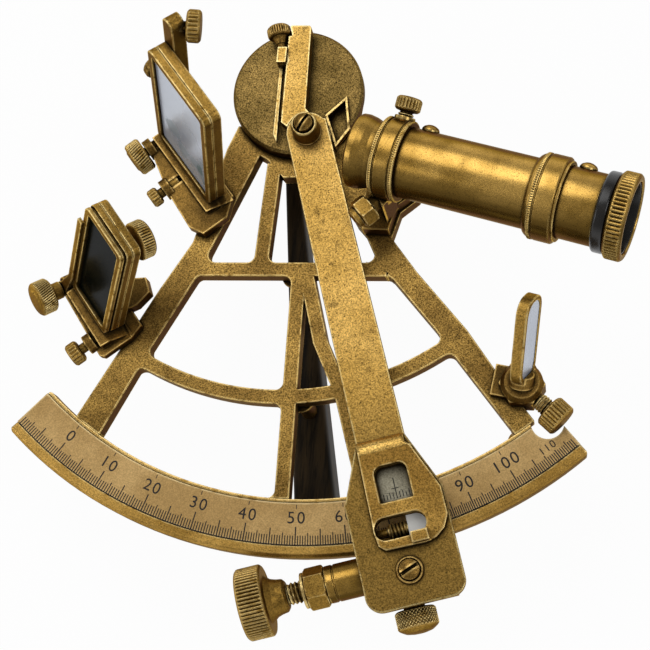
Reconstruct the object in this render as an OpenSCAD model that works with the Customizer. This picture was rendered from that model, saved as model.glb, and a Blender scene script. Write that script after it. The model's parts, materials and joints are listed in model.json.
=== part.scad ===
// Marine sextant in antique brass, lying on its three legs with the arc towards -Y.
// Origin: the middle of the foot face under the index arm's pivot. +Z is away from the table.
// Heights in the comments below are above the deck, the top face of the frame casting.

/* [Frame] */
// Height of the deck above the table
deck_z = 52; // [50:0.5:60]
// Thickness of the frame casting
frame_t = 7; // [6:0.5:8]
// Width of the inner struts
rib_w = 5.7; // [4.5:0.1:6]
// Width of the cross bars
bar_w = 5.6; // [4.5:0.1:6]
// Radius of the small fillets in the frame's corners
fillet_r = 3; // [2:0.5:4]

/* [Arc] */
// Radius of the line that the divisions stand on
scale_r = 160; // [159:0.5:161]
// Inner radius of the arc
arc_in_r = 142.5; // [142:0.5:144]
// Outer radius of the arc's rim
arc_out_r = 164.5; // [163.5:0.5:165]
// Half of the angle that the arc spans
arc_half = 43; // [42:0.5:43.5]
// Thickness of the inlaid scale plate
scale_t = 1.2; // [1:0.1:1.4]

/* [Index arm] */
// Angle of the arm from the arc's middle, as it rests
arm_rest = 16.65; // [14:0.05:20]
// Top face of the arm above the deck
arm_z = 14; // [13.8:0.1:14.4]
// Thickness of the arm
arm_t = 3.5; // [3:0.1:3.7]
// Width of the arm at the pivot
arm_w = 16.7; // [15:0.1:17.5]
// Width of the arm where the foot begins
arm_w2 = 18.4; // [17:0.1:18.6]
// Length from the pivot to the end of the foot
arm_len = 188; // [186:1:190]
// Width of the foot
foot_w = 37; // [36:0.5:38]
// Radius of the index disc
disc_r = 26.5; // [25:0.5:27]
// Diameter of the pivot shaft
shaft_d = 8; // [7:0.5:9]

/* [Telescope] */
// Radius of the main tube
tube_r = 13.4; // [13:0.1:13.6]
// Height of the tube's axis above the deck, at the collar
tube_z = 30; // [30:0.5:32]
// Heading of the tube in the frame's plane
tube_heading = -15.6; // [-17:0.1:-14]
// Rise of the tube towards the eyepiece
tube_rise = 5; // [3:0.5:6]
// Length of the main tube in front of the clamp collar
tube_len = 50; // [48:0.5:52]
// Radius of the clamp collar
collar_r = 15.6; // [15.4:0.1:15.8]
// Radius of the rear ring
rear_r = 16.3; // [16:0.1:16.5]

/* [Mirror and shade] */
// Width of the upper mirror
mirror_w = 38.4; // [37:0.1:39]
// Height of the upper mirror
mirror_h = 64; // [60:0.5:66]
// Depth of the upper mirror's two frames together
mirror_d = 7.5; // [7.3:0.1:8.5]
// Lean of the upper mirror
mirror_lean = 12.8; // [11:0.1:14]
// Width of the shade
shade_w = 25.8; // [24:0.1:26]
// Height of the shade
shade_h = 58; // [54:0.5:60]
// Depth of the shade's frames together
shade_d = 8.6; // [8.4:0.1:9.5]
// Lean of the shade
shade_lean = 25.8; // [24:0.1:27]
// Length of the small mirror
small_l = 34.5; // [33:0.5:38]
// Width of the small mirror
small_w = 15; // [14:0.5:17]

/* [Tangent screw] */
// Distance of the screw's axis from the pivot
tangent_r = 172.2; // [172.2:0.1:174]
// Height of the screw's axis above the deck
tangent_z = 3; // [2:0.1:3.2]
// Diameter of the knob
tangent_knob_d = 27; // [26:0.5:29]
// Diameter of the barrel
barrel_d = 14; // [13.5:0.1:14.2]

/* [Handle and legs] */
// Gap between the frame's back and the handle
handle_gap = 19; // [18:0.5:21]
// Depth of the handle
handle_d = 21; // [18:0.5:22]
// Width of the handle at its lower end
handle_w = 17.5; // [15:0.5:18]
// Width of the handle at its upper end
handle_w2 = 6.4; // [6.2:0.1:8]
// Diameter of a leg's foot
foot_d = 10; // [8:0.5:10]

/* [Hidden] */

$fn = 96;
brass = "#a8823c";
dark_brass = "#7a5d2c";
pale_brass = "#c2a668";
silver = "#b9bcb8";
dark_wood = "#3a332c";
black = "#1c1c1e";
mirror_blue = "#aebccb";
shade_teal = "#16282a";
glass_grey = "#c9d3d6";

fit = 0.05;
eps = 0.01;

// Corners of the frame, seen along -Z with the pivot at (0, 0)
disc_at = [-6.6, 20.5];
left_notch = [-45.5, -41.7];
left_knee = [-39, -47.2];
upper_bar_y = -52.8;
lower_bar_c = [-9, 8];
lower_bar_r = 111.3;
centre_x = -1.7;
outer_strut = [left_notch, [-57, -61.2], [-90.5, -123], [-79, -128], [-59.8, -88.4],
    [-42.9, -56.5], left_knee];
bent_rib = [[1.4, -53.8], [8.7, -80.7], [18.3, -100.4], [32.1, -146]];
right_strut = [[23.5, -36.8], [28.8, -47.5], [53.3, -75], [61.8, -86.1], [91, -121.7],
    [104, -123.6], [78, -91.7], [65.3, -74.6], [44.7, -51.8], [34.1, -38.3]];

// Arm heights
arm_low = arm_z - arm_t;
box_t = 2.6;
foot_begin = 126;
foot_wide = 148;
foot_corner = 6;

// Places of the standing pieces, above the deck
mirror_at = [-49.9, -14.2, 8];
mirror_turn = -51.1;
shade_at = [-82.8, -73.4, 8];
shade_turn = -51.9;
shade_pin = [-17, -8];
mirror_pin_z = -3;
mirror_mid = mirror_d / 2;
tube_at = [41.7, -18.3];
small_at = [87, -96];
small_turn = -41;

// Places of the legs
leg_left = [-99, -114];
leg_right = [85, -108];

module on_deck() {
    translate([0, 0, deck_z]) children();
}

// Arm frame: x across the arm, -y along it towards the arc
module on_arm() {
    on_deck() rotate([0, 0, arm_rest]) children();
}

// Telescope frame: z along the tube towards the eyepiece, -x up
module on_tube() {
    on_deck() translate([tube_at.x, tube_at.y, tube_z]) rotate([0, 0, tube_heading])
        rotate([0, -tube_rise, 0]) rotate([0, 90, 0]) children();
}

// Plate frame: x along the lower edge, y towards the back, z up the plate
module on_mirror(lean = mirror_lean) {
    on_deck() translate(mirror_at) rotate([0, 0, mirror_turn]) rotate([-lean, 0, 0])
        children();
}

module on_shade(lean = shade_lean) {
    on_deck() translate(shade_at) rotate([0, 0, shade_turn]) rotate([-lean, 0, 0])
        children();
}

// Tangent screw frame: z along its axis, from the knob towards the foot
module on_tangent() {
    on_arm() translate([0, -tangent_r, tangent_z]) rotate([0, 90, 0]) children();
}

module slab(points, low, high) {
    translate([0, 0, low]) linear_extrude(high - low) polygon(points);
}

// Straight bar between two points of the plane
module bar(p, q, w, low, high) {
    d = q - p;
    translate([p.x, p.y, low]) rotate([0, 0, atan2(d.y, d.x)]) translate([0, -w / 2, 0])
        cube([norm(d), w, high - low]);
}

// Rectangle with round corners, centred on x, from z = 0 upwards, in the x-z plane
module pane(w, h, r, y0, y1) {
    translate([0, y1, 0]) rotate([90, 0, 0]) linear_extrude(y1 - y0) union() {
        translate([-w / 2 + r, 0]) square([w - 2 * r, h]);
        translate([-w / 2, r]) square([w, h - 2 * r]);
        for (x = [-w / 2 + r, w / 2 - r], z = [r, h - r]) translate([x, z]) circle(r);
    }
}

// Turned piece with its axis on z
module turned(profile) {
    rotate_extrude() polygon(profile);
}

// Knurled head: straight teeth between two chamfered rims
module knurled(d, h, teeth, depth = 0.5, rim = 1) {
    r = d / 2;
    core = r - depth - 0.12;
    translate([0, 0, rim]) linear_extrude(h - 2 * rim) polygon([for (i = [0:2 * teeth - 1])
        let (a = 180 * i / teeth, rr = i % 2 == 0 ? r : r - depth)
        [rr * cos(a), rr * sin(a)]]);
    turned([[0, 0], [core - rim / 2, 0], [core, rim / 2], [core, h - rim / 2],
        [core - rim / 2, h], [0, h]]);
}

// Annular grooves that stand for a thread
module threaded(d, h, pitch) {
    r = d / 2;
    n = floor(h / pitch);
    turned(concat([[0, 0], [r - pitch / 2, 0]],
        [for (i = [0:n - 1], k = [0, 1])
            [k == 0 ? r : r - pitch / 2, (i + (k == 0 ? 0.5 : 1)) * pitch]],
        [[r - pitch / 2, h], [0, h]]));
}

module hex(d, h) {
    cylinder(d = d, h = h, $fn = 6);
}

// Frame casting

// Straight strip between two points
module strip(p, q, w) {
    d = q - p;
    translate(p) rotate(atan2(d.y, d.x)) translate([0, -w / 2]) square([norm(d), w]);
}

// Strip that follows a circle, between two angles measured from -Y
module arc_strip(c, r, w, a0, a1) {
    intersection() {
        translate(c) difference() {
            circle(r = r + w / 2, $fn = 180);
            circle(r = r - w / 2, $fn = 180);
        }
        polygon([c, c + 2 * r * [sin(a0), -cos(a0)],
            c + 3 * r * [sin((a0 + a1) / 2), -cos((a0 + a1) / 2)],
            c + 2 * r * [sin(a1), -cos(a1)]]);
    }
}

// Fills the corner at p between the directions a0 and a1 with a concave fillet
module corner(p, a0, a1, r) {
    half = (a1 - a0) / 2;
    reach = r / tan(half);
    ends = [p + reach * [cos(a0), sin(a0)], p + reach * [cos(a1), sin(a1)]];
    inward = [cos(a0 + half), sin(a0 + half)];
    c = p + r / sin(half) * inward;
    difference() {
        polygon([p - 2 * inward, ends[0] - 2 * inward, ends[0], c, ends[1],
            ends[1] - 2 * inward]);
        translate(c) circle(r = r);
    }
}

// One edge of a bar that follows a bent path, at the given distance from it
function path_edge(path, off) = [for (i = [0:len(path) - 1]) let (
    d = path[min(i + 1, len(path) - 1)] - path[max(i - 1, 0)])
    path[i] + off / norm(d) * [d.y, -d.x]];

module struts() {
    polygon(outer_strut);
    polygon(right_strut);
    strip([centre_x, upper_bar_y], [centre_x, -arc_in_r - 3], rib_w);
    strip([-15, -8], [-17.4, upper_bar_y], rib_w);
    left = path_edge(bent_rib, -rib_w / 2);
    polygon(concat(path_edge(bent_rib, rib_w / 2), [for (i = [3:-1:0]) left[i]]));
}

module frame() {
    rib_x = centre_x - rib_w / 2;
    // Corners with a fillet, and the directions of their two edges
    fillets = [[-42.3, -55.5, 242, 361], [-40.1, -49.9, 1.2, 67], [rib_x, -54.8, 181.2, 270],
        [-20.1, -49.5, 86.9, 181.2], [-14.3, -49.4, 1.2, 86.9], [rib_x, -100.4, 90, 182],
        [rib_x, -106, 182, 270], [rib_x, -arc_in_r, 90, 178.2], [-62.1, -93, 243, 332.5],
        [-59.6, -87.9, -27.8, 62], [34.4, -54, 181.2, 311.7], [29.5, -48.4, 116.4, 181.2],
        [56.2, -78.7, 127.4, 217], [59.6, -83.2, 217, 307.4]];
    color(brass) on_deck() translate([0, 0, -frame_t]) linear_extrude(frame_t) difference() {
        union() {
            // Hub under the disc and the telescope
            translate(disc_at) circle(r = disc_r - 1.5);
            polygon([[-31, 8], [-35, -2], left_notch, left_knee, [-21.2, -4.7], [-18, -6.5],
                [-11, -14], [8, -13], [20, -33], [23.5, -36.8], [34.1, -38.3], [37, -28],
                [44, -22], [45, -9], [20, 6]]);
            struts();
            strip([-43, upper_bar_y], [33, upper_bar_y + 1.6], bar_w);
            arc_strip(lower_bar_c, lower_bar_r, bar_w, -31, 39);
            for (f = fillets) corner([f[0], f[1]], f[2], f[3], fillet_r);
        }
        // Seat of the arc, bore of the pivot bearing
        difference() {
            circle(r = 260, $fn = 180);
            circle(r = arc_in_r, $fn = 360);
        }
        circle(d = shaft_d + 6);
    }
}

module arc_band(r0, r1, a, low, high) {
    difference() {
        translate([0, 0, low]) cylinder(r = r1, h = high - low, $fn = 360);
        translate([0, 0, low - 1]) cylinder(r = r0, h = high - low + 2, $fn = 360);
        for (s = [-1, 1]) rotate([0, 0, s * a - 90]) translate([0, s < 0 ? -400 : 0, low - 1])
            cube([400, 400, high - low + 2]);
        translate([-400, 0, low - 1]) cube([800, 400, high - low + 2]);
    }
}

module limb() {
    color(brass) on_deck() difference() {
        arc_band(arc_in_r, arc_out_r, arc_half, -frame_t, 0);
        arc_band(arc_in_r + 1.5, scale_r, arc_half + 5, -scale_t, 1);
        // Bevel along the outer rim
        rotate_extrude($fn = 360) polygon([[arc_out_r - 1.2, eps], [arc_out_r + 1, eps],
            [arc_out_r + 1, -2.2]]);
        notch_cut();
    }
}

// Rounded notch between the right strut and the end of the arc
module notch_cut() {
    translate([96.8, -109.4, -frame_t - 1]) cylinder(r = 6.2, h = frame_t + 4);
}

module scale_plate() {
    color(pale_brass) on_deck() difference() {
        arc_band(arc_in_r + 1.5 + eps, scale_r - eps, arc_half, -scale_t, 0.3);
        notch_cut();
    }
}

// Legs: turned columns with a flange under the frame
module leg(flange = 3.5) {
    h = deck_z - frame_t;
    turned([[0, 0], [foot_d / 2 - 0.6, 0], [foot_d / 2, 0.8], [foot_d / 2, 3.2],
        [foot_d / 2 - 1, 4.4], [3, 7], [2.6, h / 2], [3, h - 5], [flange, h - 2], [flange, h],
        [0, h]]);
}

module pivot_leg() {
    color(brass) leg(8.5);
}

module arc_legs() {
    color(brass) {
        translate([leg_left.x, leg_left.y, 0]) leg();
        translate([leg_right.x, leg_right.y, 0]) leg();
    }
}

disc_t = 6;

module pivot_disc() {
    pocket = [[6.6, 9.6], [13.1, 16.1], [14.8, 4.4], [10.8, -1.6]];
    pocket_rim = [[5.4, 9.9], [13.8, 18.2], [15.9, 4.2], [10.5, -3.9]];
    color(brass) on_deck() difference() {
        union() {
            translate([disc_at.x, disc_at.y, 0]) turned([[0, 0], [disc_r - 0.6, 0],
                [disc_r, 0.6], [disc_r, disc_t - 1], [disc_r - 1, disc_t], [0, disc_t]]);
            // Raised rim of the pocket beside the arm
            slab(pocket_rim, disc_t - 1, disc_t + 1.6);
        }
        translate([0, 0, -1]) cylinder(d = shaft_d + 9.2, h = disc_t + 8);
        slab(pocket, 3, disc_t + 2);
    }
}

module pivot_bearing() {
    color(pale_brass) on_deck() difference() {
        union() {
            translate([0, 0, -frame_t]) cylinder(d = shaft_d + 6, h = frame_t);
            cylinder(d = shaft_d + 9.2, h = disc_t + 2);
        }
        translate([0, 0, -frame_t - 1]) cylinder(r = shaft_d / 2 + fit, h = 40);
    }
}

// Handle

handle_top = -frame_t - handle_gap;
post_r = 3.2;
handle_posts = [[-5.3, -52.8], [2, -103.2]];

module handle() {
    // Corner radius, y and x of the middle, width and the depth left off, at each end
    ends = [[2.6, -5, -12.4, handle_w2, 3], [3, -143, 7, handle_w, 0]];
    color(dark_wood) on_deck() difference() {
        hull() for (e = ends, side = [-1, 1], low = [0, 1])
            translate([e[2] + side * (e[3] / 2 - e[0]), e[1],
                handle_top - e[0] - low * (handle_d - 2 * e[0] - e[4])])
                sphere(e[0], $fn = 32);
        for (p = handle_posts) translate([p.x, p.y, handle_top - 2])
            cylinder(r = post_r, h = 4);
    }
}

// Posts that carry the handle, each with a flange under the frame
module handle_brackets() {
    color(dark_brass) on_deck() for (p = handle_posts) {
        translate([p.x, p.y, handle_top - 2 + eps]) cylinder(r = post_r, h = handle_gap + 2 - eps);
        translate([p.x, p.y, -frame_t - 2]) cylinder(r = post_r + 1.2, h = 2);
    }
}

// Index arm

module foot_outline() {
    w = foot_w / 2;
    polygon([[-arm_w2 / 2, -foot_begin], [-w, -foot_wide], [-w, -arm_len + foot_corner],
        [-w + foot_corner, -arm_len], [w - foot_corner, -arm_len],
        [w, -arm_len + foot_corner], [w, -foot_wide], [arm_w2 / 2, -foot_begin]]);
    for (x = [-w + foot_corner, w - foot_corner])
        translate([x, -arm_len + foot_corner]) circle(foot_corner);
}

window_x = [-5, 7.2];
window_y = [136.5, 150];
slot_x = [-9.5, 9.7];
slot_y = [155.3, 163.5];

module window_cut() {
    r = 3;
    w = window_x[1] - window_x[0];
    h = window_y[1] - window_y[0];
    translate([window_x[0], -window_y[1]]) union() {
        square([w, h - r]);
        translate([r, 0]) square([w - 2 * r, h]);
        for (x = [r, w - r]) translate([x, h - r]) circle(r);
    }
}

module slot_cut() {
    r = (slot_y[1] - slot_y[0]) / 2;
    y = -(slot_y[0] + slot_y[1]) / 2;
    translate([slot_x[0] + r, y - r]) square([slot_x[1] - slot_x[0] - 2 * r, 2 * r]);
    for (x = [slot_x[0] + r, slot_x[1] - r]) translate([x, y]) circle(r);
}

screw_y = -175.4;
screw_axis_y = -159.4;
screw_axis_z = 8;

module index_arm() {
    color(brass) on_arm() difference() {
        union() {
            translate([0, 0, arm_low]) cylinder(d = arm_w, h = arm_t);
            slab([[-arm_w / 2, 0], [-arm_w2 / 2, -foot_begin], [arm_w2 / 2, -foot_begin],
                [arm_w / 2, 0]], arm_low, arm_z);
            slab([[-arm_w / 2, 0], [arm_w / 2, 0], [arm_w / 2, 3.8], [1, 6.5]], arm_low, arm_z);
            translate([0, 0, arm_low]) linear_extrude(arm_t) foot_outline();
            // Cheeks that hold the vernier screw
            for (x = [-12.2, 10]) translate([x, screw_axis_y - 4, 4.5])
                cube([2, 8, arm_low - 4.5 + eps]);
        }
        translate([0, 0, arm_low - 1]) cylinder(d = shaft_d, h = arm_t + 2);
        translate([0, 0, arm_low - 1]) linear_extrude(arm_t + 2) {
            window_cut();
            slot_cut();
        }
        translate([-20, screw_axis_y, screw_axis_z]) rotate([0, 90, 0])
            cylinder(r = 1.5 + fit, h = 40);
        translate([0, screw_y, arm_low - 1]) cylinder(d = 4, h = arm_t + 2);
    }
}

// Tail of the arm, which reaches over the disc, and the thin rib beside it
module arm_tail() {
    low = arm_low - 2;
    color(brass) on_deck() difference() {
        union() {
            slab([[-10.8, 4], [-10.4, 44.8], [-9.6, 45.6], [-2.4, 45.6], [-1.6, 44.8],
                [-1.4, 10], [0.5, 8], [0.5, 0], [-5, 0]], low, arm_z);
            // Thin rib beside the tail, and the web that joins them
            slab([[-14.2, 0], [-13.7, 34], [-12.4, 34], [-12.6, -3]], low, arm_z - 3);
            slab([[-12.8, 8], [-12.8, 34], [-10.4, 34], [-10.6, 8]], low, low + 1.2);
            // Lug of the thumb screw
            slab([[-14.4, 29], [-14.2, 35.6], [-10.4, 35.6], [-10.6, 29]], low, arm_z + 1.6);
        }
        translate([0, 0, arm_low - 5]) cylinder(d = arm_w + 0.02, h = 20);
        on_tail_screw() {
            translate([0, 0, -3]) cylinder(r = 1.6 + fit, h = 17);
            // Room for the screw's head beside the tail
            translate([0, 0, -3]) cylinder(r = 5.2, h = 6.2);
        }
    }
}

// Thumb screw frame: z along the screw, from its head towards its tip
module on_tail_screw() {
    translate([-14.7, 43, 12.6]) rotate([0, 0, -75.3]) rotate([0, 90, 0]) children();
}

// Thumb screw at the tail's upper left
module tail_screw() {
    color(dark_brass) on_deck() on_tail_screw() {
        translate([0, 0, -2.3]) knurled(9.6, 4.6, 20, 0.4, 0.6);
        translate([0, 0, 2.3 - eps]) cylinder(d1 = 6.4, d2 = 4, h = 3);
        translate([0, 0, 5.3 - 2 * eps]) cylinder(d = 3.2, h = 7.4);
    }
}

module pivot_shaft() {
    color(pale_brass) on_deck() {
        translate([0, 0, -frame_t + 0.4]) cylinder(d = shaft_d, h = arm_z + frame_t - 0.4);
    }
}

module pivot_collar() {
    color(brass) on_deck() translate([0, 0, arm_z]) difference() {
        turned([[0, 0], [5.8, 0], [5.2, 1], [5.2, 8.2], [4.7, 9], [3.9, 9], [3.9, 7], [0, 7]]);
        translate([0, 0, -1]) cylinder(d = 4.4, h = 12);
    }
}

module slotted_head(d, h, slot, depth, angle) {
    difference() {
        turned([[0, 0], [d / 2, 0], [d / 2, h - 0.6], [d / 2 - 0.6, h], [0, h]]);
        rotate([0, 0, angle]) translate([-d, -slot / 2, h - depth])
            cube([2 * d, slot, depth + 1]);
    }
}

module pivot_screw() {
    color(dark_brass) on_deck() translate([0, 0, arm_z + 7]) {
        slotted_head(7.2, 4.4, 1.1, 1.6, 60);
        translate([0, 0, -7 + eps]) cylinder(d = 4.4, h = 7);
    }
}

module vernier_box() {
    w = foot_w / 2;
    color(brass) on_arm() {
        difference() {
            slab([[-9.2, -129.5], [-9.8, -160], [-9.2, -165], [-7, -167], [8, -167.4],
                [12, -166.4], [15.6, -163.6], [w - 0.6, -159], [w - 0.6, -149],
                [10.4, -131], [8.6, -129.5]], arm_z, arm_z + box_t);
            translate([0, 0, arm_z - 1]) linear_extrude(box_t + 2) {
                window_cut();
                slot_cut();
            }
        }
        // Stop block at the slot's lower edge
        translate([3.1, -166.8, arm_z]) cube([6.4, 4.2, 5]);
    }
}

module vernier_plate() {
    color(silver) on_arm() translate([window_x[0] - 3, -window_y[1] - 3, arm_low - 1.2])
        cube([window_x[1] - window_x[0] + 6, window_y[1] - window_y[0] + 6, 1.2]);
}

module index_plate() {
    color("white") on_arm() translate([2.4, screw_axis_y - 5.1, arm_low - 0.8])
        cube([7.4, 10.2, 0.8]);
}

module vernier_screw() {
    color(dark_brass) on_arm() translate([-12, screw_axis_y, screw_axis_z])
        rotate([0, 90, 0]) {
            translate([0, 0, -1.2]) cylinder(r = 1.5, h = 25);
            translate([0, 0, 3.8]) threaded(6.4, 9, 1.8);
        }
}

clamp_x = -2.8;

module foot_block() {
    color(dark_brass) on_arm() difference() {
        translate([-14, -186, -8]) cube([28, 20.5, arm_low + 8]);
        translate([-20, -tangent_r, tangent_z]) rotate([0, 90, 0])
            cylinder(d = barrel_d, h = 18);
        translate([-20, -tangent_r, tangent_z]) rotate([0, 90, 0])
            cylinder(d = 8.4, h = 38);
        translate([clamp_x, screw_y - 8, 1]) rotate([90, 0, 0])
            cylinder(r = 2.5 + fit, h = 12);
    }
}

module foot_screw() {
    color(pale_brass) on_arm() translate([-0.3, screw_y, arm_z]) {
        difference() {
            turned([[0, 0], [5, 0], [5, 1.4], [4.6, 1.8], [0, 1.8]]);
            translate([0, 0, 1]) cylinder(d = 8, h = 3);
        }
        translate([0, 0, 0.9]) slotted_head(7.6, 3.2, 1.1, 1.3, 20);
    }
}

module clamp_jaw() {
    color(dark_brass) on_arm() translate([-8, -172, -11.5]) cube([16, 24, 3.5]);
}

module clamp_knob() {
    color(brass) on_arm() translate([clamp_x, -186.3, 1]) rotate([90, 0, 0]) {
        translate([0, 0, -2.6]) cylinder(r = 2.5, h = 2.7);
        cylinder(d = 8, h = 1.7);
        translate([0, 0, 1.6]) knurled(15.6, 7.2, 34, 0.5, 1);
        translate([0, 0, 8.8 - eps]) turned([[0, 0], [6.4, 0], [5.2, 1.3], [0, 1.8]]);
    }
}

module barrel() {
    color(brass) on_tangent() difference() {
        translate([0, 0, -32]) cylinder(d = barrel_d, h = 30);
        translate([0, 0, -34]) cylinder(r = 4.2 + fit, h = 40);
    }
}

module lock_nut() {
    color(brass) on_tangent() difference() {
        translate([0, 0, -40]) union() {
            hex(16, 8 - eps);
            translate([0, 0, -1.2]) cylinder(d = 13.4, h = 1.3);
        }
        translate([0, 0, -43]) cylinder(r = 4.2 + fit, h = 14);
    }
}

module tangent_screw() {
    r = tangent_knob_d / 2;
    color(brass) on_tangent() {
        translate([0, 0, -64.6]) difference() {
            knurled(tangent_knob_d, 10, 60, 0.5, 1);
            translate([0, 0, -1]) cylinder(r = r - 3, h = 3);
        }
        translate([0, 0, -54.6 - eps]) turned([[0, 0], [9, 0], [8.2, 1], [7.2, 2], [6.6, 4],
            [6.2, 6.4], [5, 7.4], [0, 7.4]]);
        translate([0, 0, -47.6]) threaded(8.4, 40, 1.6);
    }
}

// Telescope

module telescope_bracket() {
    color(dark_brass) on_deck() {
        slab([[23, -37], [33.4, -37.4], [36, -27.4], [43, -22], [43.6, -10], [28, -10],
            [23, -24]], 0, 7);
        difference() {
            union() {
                slab([[34, -27], [43, -22], [43.6, -12], [35, -10]], 7 - eps, 15.4);
                // Lug that the hexagon bolt is screwed into
                slab([[29.8, -27.4], [33, -34.4], [37, -28.6], [35.6, -22], [31, -22.5]],
                    7 - eps, 25);
            }
            tube_cut(0);
            on_bolt() cylinder(d = 6, h = 12.6);
        }
    }
}

// Room for the telescope's collar, with a gap around it
module tube_cut(gap) {
    translate([tube_at.x, tube_at.y, tube_z]) rotate([0, 0, tube_heading])
        rotate([0, -tube_rise, 0]) rotate([0, 90, 0])
            cylinder(r = collar_r + gap, h = 60, center = true);
}

module on_bolt() {
    translate([24.5, -36, 21.2]) rotate([0, 0, 42]) rotate([0, 90, 0]) children();
}

module bracket_bolt() {
    color(brass) on_deck() difference() {
        on_bolt() {
            translate([0, 0, -1]) hex(12, 6);
            translate([0, 0, -3.4]) cylinder(d = 8, h = 2.5);
            translate([0, 0, 5 - eps]) cylinder(d = 6, h = 7.6);
        }
        tube_cut(0.2);
    }
}

draw_r = 13.5;

// Turns a piece about the tube, from the top towards +Y, to where the screws stand
side_turn = 75;

module telescope_collar() {
    color(brass) on_tube() difference() {
        union() {
            translate([0, 0, -10]) cylinder(r = collar_r, h = 10);
            rotate([0, 0, -side_turn]) translate([-collar_r - 0.9, 0, -5])
                rotate([0, 90, 0]) cylinder(r = 4, h = 4);
        }
        translate([0, 0, -11]) cylinder(r = tube_r, h = 14);
        rotate([0, 0, -side_turn]) translate([-30, 0, -5]) rotate([0, 90, 0])
            cylinder(r = 2 + fit, h = 20);
    }
}

module collar_screw() {
    color(brass) on_tube() rotate([0, 0, -side_turn])
        translate([-tube_r - 0.4, 0, -5]) rotate([0, -90, 0]) {
            cylinder(r = 2, h = 4);
            translate([0, 0, 3.1]) turned([[0, 0], [3, 0], [3, 0.6], [2.4, 0.9], [2.4, 1.2],
                [3.3, 1.7], [0, 1.7]]);
            translate([0, 0, 4.8 - eps]) knurled(10, 5.2, 22, 0.4, 0.8);
        }
}

module objective_cell() {
    color(brass) on_tube() difference() {
        translate([0, 0, -20.7]) turned([[0, 0], [13.2, 0], [14.2, 0.8], [14.3, 3],
            [13.8, 5.6], [12.9, 8], [12.7, 10.7], [0, 10.7]]);
        translate([0, 0, -22]) cylinder(r = 11.6, h = 20);
        translate([0, 0, -22]) cylinder(r = 12.4, h = 5.5);
    }
}

module lens(r, t, bulge) {
    steps = 6;
    half = [for (i = [0:steps]) [r * i / steps, t / 2 + bulge * (1 - pow(i / steps, 2))]];
    turned(concat([for (p = half) [p.x, -p.y]], [for (i = [steps:-1:0]) half[i]]));
}

module objective_lens() {
    color(glass_grey) on_tube() translate([0, 0, -17.36 - eps]) lens(12.4 - eps, 1.6, 0.45);
}

// Domed screw head on a tube's side
module stud(r, at) {
    rotate([0, 0, -side_turn]) translate([-r + 0.7, 0, at]) rotate([0, -90, 0])
        turned([[0, 0], [3.4, 0], [3.4, 1.3], [2.8, 2.2], [1.4, 2.9], [0, 3.1]]);
}

module main_tube() {
    color(brass) on_tube() difference() {
        union() {
            translate([0, 0, -10]) cylinder(r = tube_r, h = tube_len + 14);
            stud(tube_r, 6);
        }
        translate([0, 0, -11]) cylinder(r = tube_r - 1.1, h = tube_len + 20);
    }
}

module rear_ring() {
    color(brass) on_tube() difference() {
        translate([0, 0, tube_len]) turned([[0, 0], [rear_r - 1.6, 0], [rear_r - 0.6, 1.4],
            [rear_r, 2.2], [rear_r, 10.4], [rear_r - 1, 12], [0, 12]]);
        translate([0, 0, tube_len - 1]) cylinder(r = tube_r, h = 20);
        translate([0, 0, tube_len + 4]) cylinder(r = draw_r + 0.1, h = 20);
    }
}

module draw_tube() {
    color(brass) on_tube() difference() {
        union() {
            translate([0, 0, tube_len + 6]) cylinder(r = draw_r, h = 19.5);
            translate([0, 0, 28]) cylinder(r = tube_r - 1.1 - fit, h = 40);
            stud(draw_r, 67);
        }
        translate([0, 0, 27]) cylinder(r = 11, h = 60);
    }
}

module black_ring() {
    color(black) on_tube() difference() {
        translate([0, 0, 75.5]) turned([[0, 0], [14.6, 0], [15.1, 0.6], [15.1, 3.9],
            [14.6, 4.5], [0, 4.5]]);
        translate([0, 0, 75]) cylinder(r = 11, h = 10);
    }
}

module eyepiece_ring() {
    color(brass) on_tube() difference() {
        union() {
            translate([0, 0, 80.1]) knurled(32.6, 6.9, 64, 0.5, 1);
            translate([0, 0, 72]) cylinder(r = 11 - fit, h = 8.2);
        }
        translate([0, 0, 81.6]) cylinder(r = 13.4, h = 8);
        translate([0, 0, 71]) cylinder(r = 10, h = 12);
    }
}

module eye_lens() {
    color(glass_grey) on_tube() translate([0, 0, 80.6]) lens(10 - eps, 1, 0.6);
}

// Upper mirror

// Faces of the bosses that the two screws in front of the base run in
mirror_screws = [[-18, -7.4], [0.5, -11.4]];
mirror_screw_z = -4.6;
side_screw = [5.5, 40];
post_screw = [-15.9, mirror_d + 2.9, 74.4];
post_turn = 52;
post_top = 75.2;

module mirror_base() {
    color(dark_brass) on_mirror(0) difference() {
        union() {
            slab([[-20, -4], [-17, -6], [2, -10.4], [20, -11.6], [26, -8.6], [26, 3],
                [20, 10], [-20, 10]], -8, -3);
            slab([[-20, -2.6], [20, -2.6], [22, 9], [-20, 9]], -3 - eps, -0.8);
            for (k = mirror_screws) translate([k.x, k.y + 3.4, mirror_screw_z])
                rotate([90, 0, 0]) cylinder(d = 8.6, h = 3.4);
        }
        rotate([-mirror_lean, 0, 0]) {
            translate([-40, -0.6, -0.6]) cube([80, 40, 40]);
            // Slot of the tilting frame's tongue, and its pin
            translate([-9.3, mirror_mid - 2.75, -5.75]) cube([5, 5.5, 6]);
            translate([-40, mirror_mid, mirror_pin_z]) rotate([0, 90, 0])
                cylinder(r = 1.6, h = 61);
        }
        for (k = mirror_screws) translate([k.x, 0.6, mirror_screw_z]) rotate([90, 0, 0])
            cylinder(r = 2 + fit, h = 30);
    }
}

glass_t = 2;

module glazed_frame(w, h, r, margin, y0, y1) {
    difference() {
        pane(w, h, r, y0, y1);
        translate([0, 0, margin]) pane(w - 2 * margin, h - 2 * margin, 1.2, y0 - 1, y1 + 1);
    }
}

module mirror_front() {
    color(brass) on_mirror() glazed_frame(mirror_w, mirror_h, 3.4, 3, 0, mirror_d * 0.45);
}

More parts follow.
